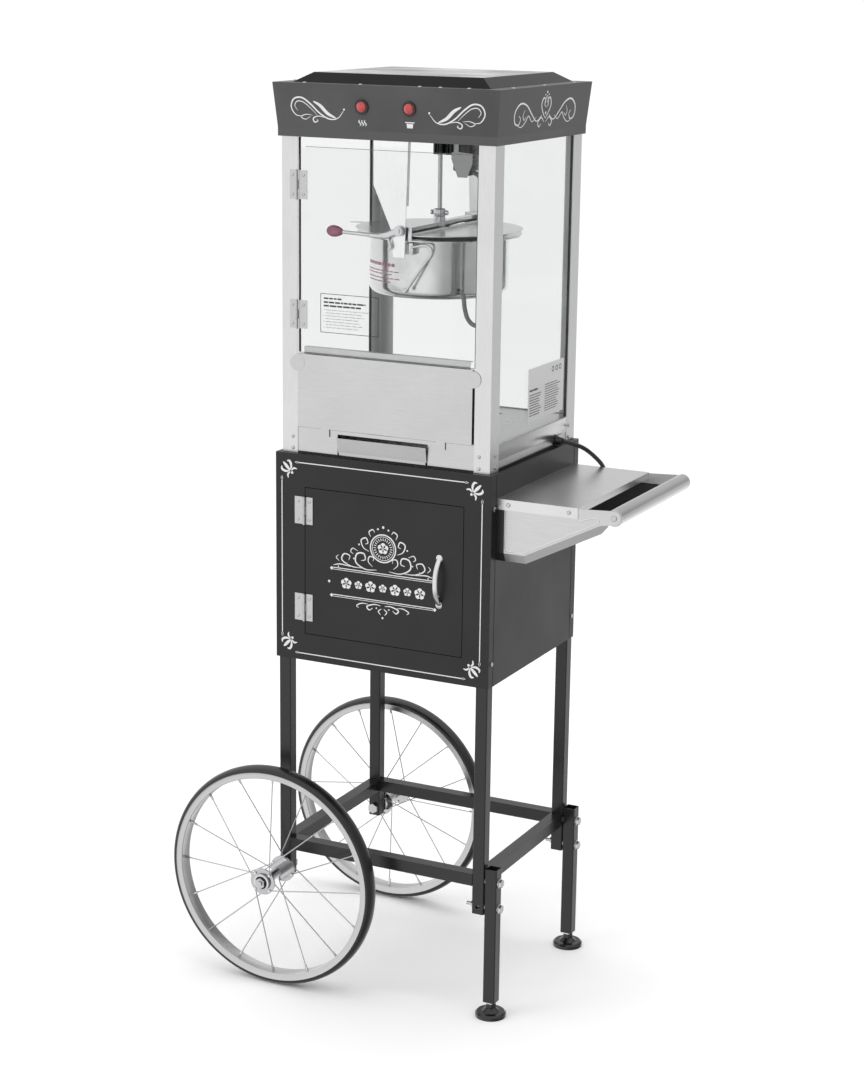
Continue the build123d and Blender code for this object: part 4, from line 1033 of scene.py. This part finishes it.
def make_cupboard_seams():
    """The dark joints where the front and back panels' flanges lap over each side."""
    work = bmesh.new()
    heights = (CUPBOARD_LOW.z + 0.001, CUPBOARD_HIGH.z - 0.001)
    for side, x in flanks(CUPBOARD_LOW, CUPBOARD_HIGH):
        for y in (CUPBOARD_LOW.y + place for place in SEAMS_BEHIND_FRONT):
            flank_block(work, side, x, 0.0005, 0.0003, (y - 0.0008, y + 0.0008), heights, 0.0002)
    add_piece("cupboard_seams", work, "cart", BLACK_RUBBER_AND_SHADE)


make_cupboard_seams()


# ---------------------------------------------------------------- case trim

PANE_LOW, PANE_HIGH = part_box("machine_door")
WINDOWS_LOW, WINDOWS_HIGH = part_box("side_windows")


def make_case_trim():
    """Black gaskets behind the windows, black strips round the base's bottom and in the gaps beside the door
    and the baffle as painted shadow, and the steel strip under each side window.
    """
    work = bmesh.new()
    for side, x in flanks(WINDOWS_LOW, WINDOWS_HIGH):
        flank_block(work, side, x, 0, 0.0011, (0.1365, 0.1446), (1.0075, 1.4968))
    base_low, base_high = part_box("machine_base")
    # a black strip round the bottom of the base, painted shadow of the gap under it
    shadow_strip_low, shadow_strip_high = base_low.z + 0.0003, base_low.z + 0.0042
    rounded_block(work, Vector((base_low.x + 0.001, base_high.y - 0.0005, shadow_strip_low)),
                  Vector((base_high.x - 0.001, base_high.y + 0.0011, shadow_strip_high)), 0.0003)
    for side, x in flanks(base_low, base_high):
        flank_block(work, side, x, 0.0006, 0.0011, (-0.138, 0.1445), (shadow_strip_low, shadow_strip_high))
    front = base_low.y
    rounded_block(work, Vector((MID_X - 0.166, front - 0.0011, shadow_strip_low)),
                  Vector((MID_X + 0.166, front + 0.0005, base_low.z + 0.0036)), 0.0003)
    # black strips beside the door pane and the baffle, painted shade in the gaps
    gap_shade_strips = [(-166.6, -163.0, 1136.5, 1496), (163.6, 166.6, 1136.5, 1496), (160.6, 166.6, 1009, 1120)]
    for left, right, low, high in gap_shade_strips:
        rounded_block(work, at(left, -169.4, low), at(right, -166.8, high), 0.0003)
    add_piece("case_gaskets_and_shade_strips", work, "cart", BLACK_RUBBER_AND_SHADE)
    work = bmesh.new()
    for side, x in flanks(base_low, base_high):
        flank_block(work, side, x, 0.0004, 0.0012, (-0.1385, 0.1445), (0.979, 1.0062), 0.0005)
    add_piece("side_sills", work, "cart", STEEL_Y)


make_case_trim()


SHELF_LOW, SHELF_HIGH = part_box("shelf_brackets")
BEAD_ROUTE = [(221, 901), (221, 870), (221, 839), (225, 833.6), (238, 833), (254, 833.6), (300, 856),
              (345, 878.7), (376, 894.3), (386, 900.5), (386.5, 905.5), (380, 907.5), (366, 904),
              (354, 899), (348, 902)]


def make_bracket_beads():
    """The pressed bead that frames each bracket's panel and ends in a round tongue beside the handle."""
    work = bmesh.new()
    for y in (SHELF_LOW.y, SHELF_HIGH.y):
        path = smooth_path([Vector((MID_X + x * MM, y, z * MM)) for x, z in BEAD_ROUTE], 6)
        sweep(work, path, Y_AXIS, 0.0006, 0.0011, sides=10)
    add_piece("bracket_beads", work, "cart", BEAD_STEEL)


make_bracket_beads()


def make_valance_screws():
    """Pan head screws on the valance's top flange, outside the roof cover."""
    work = bmesh.new()
    spots = [(x, y) for x in (-150, -46, 62, 99, 150) for y in (-177.5, 183.5)]
    spots += [(x, y) for y in (-120, 3, 126) for x in (-201, 201)]
    for x, y in spots:
        dome(work, at(x, y, 0) + VALANCE_HIGH.z * Z_AXIS, Z_AXIS, 0.0034, 0.0017)
    add_piece("valance_screws", work, "cart", ZINC)


make_valance_screws()


def text_rows(work, sheet, left, top, width, rows, row_height, pitch, value):
    """Rows of plain bars of uneven length, in place of printed lines; value starts the lengths."""
    for number in range(rows):
        u = left
        v = top - number * pitch
        value = (value * 97 + 41) % 101
        limit = left + width * (0.72 + 0.28 * value / 100)
        while u < limit:
            value = (value * 97 + 41) % 101
            length = min(limit - u, 4 + 9 * value / 100)
            rule(work, sheet, (u, v), (u + length, v), row_height)
            u += length + 1.6


def make_door_label():
    """The thin frame round rows of grey lines, stuck on the door pane."""
    sheet = Sheet(Vector((MID_X, PANE_LOW.y, 0)), X_AXIS, Z_AXIS)
    left, right, low, high = -122, -13, 1174, 1239
    work = bmesh.new()
    for z in (low, high):
        rule(work, sheet, (left, z), (right, z), 1.0)
    for x in (left, right):
        rule(work, sheet, (x, low), (x, high), 1.0)
    text_rows(work, sheet, left + 6, high - 7.5, 34, 1, 2.6, 6, 11)
    text_rows(work, sheet, left + 6, high - 14, 92, 2, 2.8, 6, 23)
    add_piece("label_frame", work, "machine_door", INK)
    work = bmesh.new()
    text_rows(work, sheet, left + 10, high - 27, 84, 7, 1.1, 4.9, 37)
    for number in range(0, 7, 2):
        disc(work, sheet, left + 6.5, high - 27 - number * 4.9, 0.9, corners=10)
    add_piece("label_lines", work, "machine_door", GREY_INK)


PLATE_LIFT = 0.00025  # the rating plate's thickness


def make_side_sticker():
    """The grey rating plate on the right window, with plain bars instead of print."""
    sheet = Sheet(Vector((WINDOWS_HIGH.x, 0, 0)), Y_AXIS, Z_AXIS)
    work = bmesh.new()
    slab(work, sheet, [(-19, 1022), (131, 1022), (131, 1114), (-19, 1114)], PLATE_LIFT)
    add_piece("rating_plate", work, "cart", STICKER)
    work = bmesh.new()
    raised = Sheet(Vector((WINDOWS_HIGH.x + PLATE_LIFT, 0, 0)), Y_AXIS, Z_AXIS)
    text_rows(work, raised, -13, 1076, 44, 1, 3.2, 6, 5)
    text_rows(work, raised, -13, 1068, 52, 9, 1.5, 4.4, 17)
    text_rows(work, raised, 51, 1078, 66, 12, 1.2, 4.1, 29)
    for u in (84, 100, 115):
        hoop(work, raised, u, 1101, 4.2, 1.5, 20)
    add_piece("rating_lines", work, "cart", INK)


make_door_label()
make_side_sticker()


PANE_CORNER = 0.0125  # the edge strips stop this short of the pane's rounded corner


def make_pane_edges():
    """The door pane's sawn edges, which look dark from in front."""
    work = bmesh.new()
    y_low, y_high = PANE_LOW.y + 0.0003, PANE_HIGH.y - 0.0003
    half = 0.0007 / 2
    left, right = PANE_LOW.x, PANE_HIGH.x
    low, high = PANE_LOW.z, PANE_HIGH.z
    strips = [(left - half, left + half, low + 0.0005, high - PANE_CORNER),
              (right - half, right + half, low + 0.0005, high - 0.0005),
              (left + PANE_CORNER, right - 0.0005, high - half, high + half),
              (left + 0.0005, right - 0.0005, low - half, low + half)]
    for x_low, x_high, z_low, z_high in strips:
        rounded_block(work, Vector((x_low, y_low, z_low)), Vector((x_high, y_high, z_high)), 0.0002, 1)
    add_piece("pane_edges", work, "machine_door", PANE_EDGE)


make_pane_edges()


# ---------------------------------------------------------------- kettle

KETTLE = at(13, 0, 0)
PIVOT_Z = 1349
ROD_Y = -153
PULL_Y = -138
PULL_ROUTE = [(30, 1322), (46, 1325.5), (57, 1326), (66, 1321), (66, 1311), (55, 1297), (38, 1274),
              (22, 1251.5)]
BALL_R = 0.0044  # the ball at the pull rod's end
POT_R = 120


def make_kettle_handles():
    """The tilting rod with its maroon knob, hub and hook, and the bent pull rod on the pot."""
    work = bmesh.new()
    rod = [at(x, ROD_Y, z) for x, z in ((-92, 1341.7), (-60, 1340.4), (-20, 1338.6))]
    sweep(work, rod, Y_AXIS, 0.0031, sides=16)
    sleeve = [at(x, ROD_Y, z)
              for x, z in ((-41, 1339.6), (-39, 1339.5), (-16, 1338.5), (-14, 1338.4))]
    sweep(work, sleeve, Y_AXIS, 0.0042, sides=20, ends=lambda t: 0.72 if t in (0.0, 1.0) else 1.0)
    arm = curved([(-20, ROD_Y, 1338.6), (-8, ROD_Y, 1341), (2, ROD_Y, 1345), (13, ROD_Y, PIVOT_Z)], 6)
    sweep(work, arm, Y_AXIS, 0.0030, 0.0058, sides=16)
    hub_place = Matrix.Translation(at(13, ROD_Y - 3, PIVOT_Z)) @ Matrix.Rotation(radians(-90), 4, "X")
    hub = [(0.0041, 0.0), (0.0080, 0.0), (0.0086, 0.001), (0.0086, 0.005), (0.0080, 0.006),
           (0.0041, 0.006)]
    lathe(work, hub, hub_place, 32)
    hook = curved([(x, ROD_Y + 1, z) for x, z in ((-8, 1341), (-4, 1331), (-1, 1322), (-6, 1318))], 6)
    sweep(work, hook, Y_AXIS, 0.0024, sides=12)
    pull = curved([(x, PULL_Y, z) for x, z in PULL_ROUTE], 8)
    sweep(work, pull, Y_AXIS, 0.0026, sides=14)
    ball = Matrix.Translation(at(21, PULL_Y, 1250))
    angles = [pi * k / 10 for k in range(11)]
    knob_form(work, [(BALL_R * sin(angle), -BALL_R * cos(angle)) for angle in angles], ball, 20)
    rounded_block(work, at(17, -139.6, 1309.6), at(33, -117.2, 1329.4), 0.0012)
    for x in (20.5, 29.5):
        dome(work, at(x, -139.6, 1314), -Y_AXIS, 0.0024)
    rods = add_piece("kettle_rods", work, "kettle", CHROME, 40)
    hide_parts("kettle_handles")
    work = bmesh.new()
    along = (at(-92, 0, 1341.7) - at(-122, 0, 1342.9)).normalized()
    turn = along.to_track_quat("Z", "Y").to_matrix().to_4x4()
    profile = []
    for k in range(25):
        angle = pi * k / 24
        taper = 1 - 0.32 * (0.5 - 0.5 * cos(angle))**1.5
        profile.append((0.0111 * sin(angle) * taper, -0.0160 * cos(angle)))
    knob_form(work, profile, Matrix.Translation(at(-105.4, ROD_Y, 1342.2)) @ turn, 32)
    add_piece("kettle_knob", work, "kettle", MAROON, 60)


make_kettle_handles()


def pot_patch(work, angle, z, half_angle, half_height):
    """A thin curved bar on the pot's wall."""
    steps = max(2, int(half_angle / 1.5))
    inner, outer = POT_R * MM - 0.00005, POT_R * MM + 0.00025
    rings = []
    for k in range(steps + 1):
        turn = radians(angle - half_angle + 2 * half_angle * k / steps)
        low, high = z - half_height, z + half_height
        rings.append([KETTLE + Vector((reach * cos(turn), reach * sin(turn), height * MM))
                      for reach, height in ((inner, low), (outer, low), (outer, high), (inner, high))])
    join_rings(work, rings)


def make_pot_label():
    """Faint rose bars on the pot's front, in place of its printed caution."""
    work = bmesh.new()
    for row, (z, height, start, end) in enumerate(((1287, 2.6, -140, -104), (1276, 0.9, -143, -100),
                                                   (1271, 0.9, -143, -108), (1264, 0.9, -141, -100),
                                                   (1258, 0.9, -140, -106))):
        angle = start
        while angle < end:
            length = 3.2 + 1.4 * ((row * 7 + int(angle)) % 3)
            pot_patch(work, angle + length / 2, z, length / 2, height)
            angle += length + 1.2
    add_piece("pot_label", work, "kettle", ROSE_INK)


make_pot_label()


def make_shaft_collar():
    """The clamping collar on the stirrer shaft, with a thumb screw at each side."""
    work = bmesh.new()
    centre = KETTLE + Vector((0, 0, 1.367))
    collar = [(0.0041, -0.006), (0.0096, -0.006), (0.0103, -0.005), (0.0103, 0.005), (0.0096, 0.006),
              (0.0041, 0.006)]
    lathe(work, collar, Matrix.Translation(centre), 32)

    def thumb_share(t):
        """The screw's neck, head and rounded end."""
        if t < 0.3:
            return 0.45
        return 0.85 if t > 0.9 else 1

    for side in (-1, 1):
        path = [centre + Vector((side * reach * MM, 0, 0)) for reach in (9, 12, 12.5, 15.5, 16)]
        sweep(work, path, Z_AXIS, 0.0042, sides=14, ends=thumb_share)
    add_piece("shaft_collar", work, "stirrer", CHROME)


make_shaft_collar()


def make_socket():
    """The steel guard and the black outlet beside it, under the ceiling."""
    top = 1495.6
    work = bmesh.new()
    outline = [(91, 1478), (96, 1480), (96, top), (104, top), (104, 1480), (129, 1478), (129, 1462),
               (120, 1439), (103, 1439), (91, 1468)]
    join_rings(work, [[at(x, y, z) for x, z in outline] for y in (-118, -116.9)])
    guard = add_piece("socket_guard", work, "cart", GUARD_STEEL)
    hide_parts("kettle_socket")
    work = bmesh.new()
    rounded_block(work, at(93, -116.4, 1449), at(125.6, -84.4, top), 0.0022, 3)
    for number in range(4):
        z = 1452 + number * 9
        rounded_block(work, at(125.2, -108, z), at(126.4, -92, z + 4.5), 0.0004)
    rounded_block(work, at(103, -108, 1441.4), at(120, -92, 1450), 0.0012)
    add_piece("socket_body", work, "cart", NYLON)


make_socket()

LEAD_ROUTE = [(100, -92, 1249), (107, -97, 1240), (111, -100, 1222), (118, -102, 1205), (131, -104, 1196),
              (146, -106, 1200), (153, -107, 1225), (154, -107, 1290), (152, -105, 1360), (146, -103, 1410),
              (136, -101, 1438), (122, -100, 1448)]


def make_kettle_lead():
    """The flexible lead from the pot's heater to the outlet under the ceiling."""
    work = bmesh.new()
    sweep(work, curved(LEAD_ROUTE, 8), Vector((0.6, 0.8, 0)), 0.0038, sides=16)
    lead = add_piece("kettle_lead", work, "cart", LEAD_JACKET, 60)
    lead.parent = None
    lead.matrix_world = Matrix.Identity(4)
    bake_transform(lead)


make_kettle_lead()


# ---------------------------------------------------------------- studio

def pale_floor():
    material, shader = start_material("studio_floor", grey(0.93), 0.85)
    tint(material, span(material, grain(material, 2, 3), 0, 1), grey(0.925), grey(0.935))
    return material


def soft_light(name, place, target, width, height, power):
    light = bpy.data.lights.new(name, "AREA")
    light.shape = "RECTANGLE"
    light.size = width
    light.size_y = height
    light.energy = power
    lamp = bpy.data.objects.new(name, light)
    lamp.location = place
    lamp.rotation_euler = (Vector(target) - Vector(place)).to_track_quat("-Z", "Y").to_euler()
    lamp.visible_glossy = False
    scene.collection.objects.link(lamp)


WALL_LIGHT = 1.25  # brightness of the studio walls and ceiling
RIGHT_LOSS = 0.55  # share lost towards the right
BACK_LOSS = 0.38  # share lost low behind the object
GROUND_SHARE = 0.55  # share left towards the ground


def make_world():
    """Studio walls that light the object most from in front and overhead, less from the right, low behind
    and below; seen directly they are plain white."""
    world = bpy.data.worlds.new("studio")
    world.use_nodes = True
    tree = world.node_tree
    place = tree.nodes.new("ShaderNodeTexCoord").outputs["Generated"]
    split = add_node(tree, "SeparateXYZ", {0: place})

    def ramp(axis, start, end, low, high):
        inputs = {"From Min": start, "From Max": end, "To Min": low, "To Max": high,
                  "Value": split.outputs[axis]}
        node = add_node(tree, "MapRange", inputs)
        node.interpolation_type = "SMOOTHSTEP"
        return node.outputs["Result"]

    def times(first, second):
        return compute(tree, "MULTIPLY", first, second)

    low_band = ramp("Z", 0.45, 0.8, 1, 0)
    right = times(ramp("X", 0.1, 0.65, 0, RIGHT_LOSS), low_band)
    behind = times(ramp("Y", 0.3, 0.8, 0, BACK_LOSS), times(ramp("Z", 0, 0.12, 0, 1), low_band))
    left = times(compute(tree, "SUBTRACT", 1.0, right), compute(tree, "SUBTRACT", 1.0, behind))
    share = times(left, ramp("Z", -0.8, -0.4, GROUND_SHARE, 1))
    direct = tree.nodes.new("ShaderNodeLightPath").outputs["Is Camera Ray"]
    strength = times(compute(tree, "MAXIMUM", share, direct), WALL_LIGHT)
    feed(tree, tree.nodes["Background"], {"Strength": strength, "Color": (1, 1, 1, 1)})
    scene.world = world


def make_studio():
    work = bmesh.new()
    bmesh.ops.create_grid(work, x_segments=8, y_segments=8, size=200)
    mesh = bpy.data.meshes.new("floor")
    work.to_mesh(mesh)
    work.free()
    mesh.materials.append(pale_floor())
    floor = bpy.data.objects.new("floor", mesh)
    floor.visible_glossy = False
    scene.collection.objects.link(floor)
    middle = (0, 0, 0.9)
    soft_light("key", (-2.6, -3.2, 3.0), middle, 1.6, 1.6, 22)
    soft_light("top", (0.2, 0.4, 4.2), middle, 2.6, 2.6, 34)
    make_world()
    scene.view_settings.view_transform = "Standard"


make_studio()
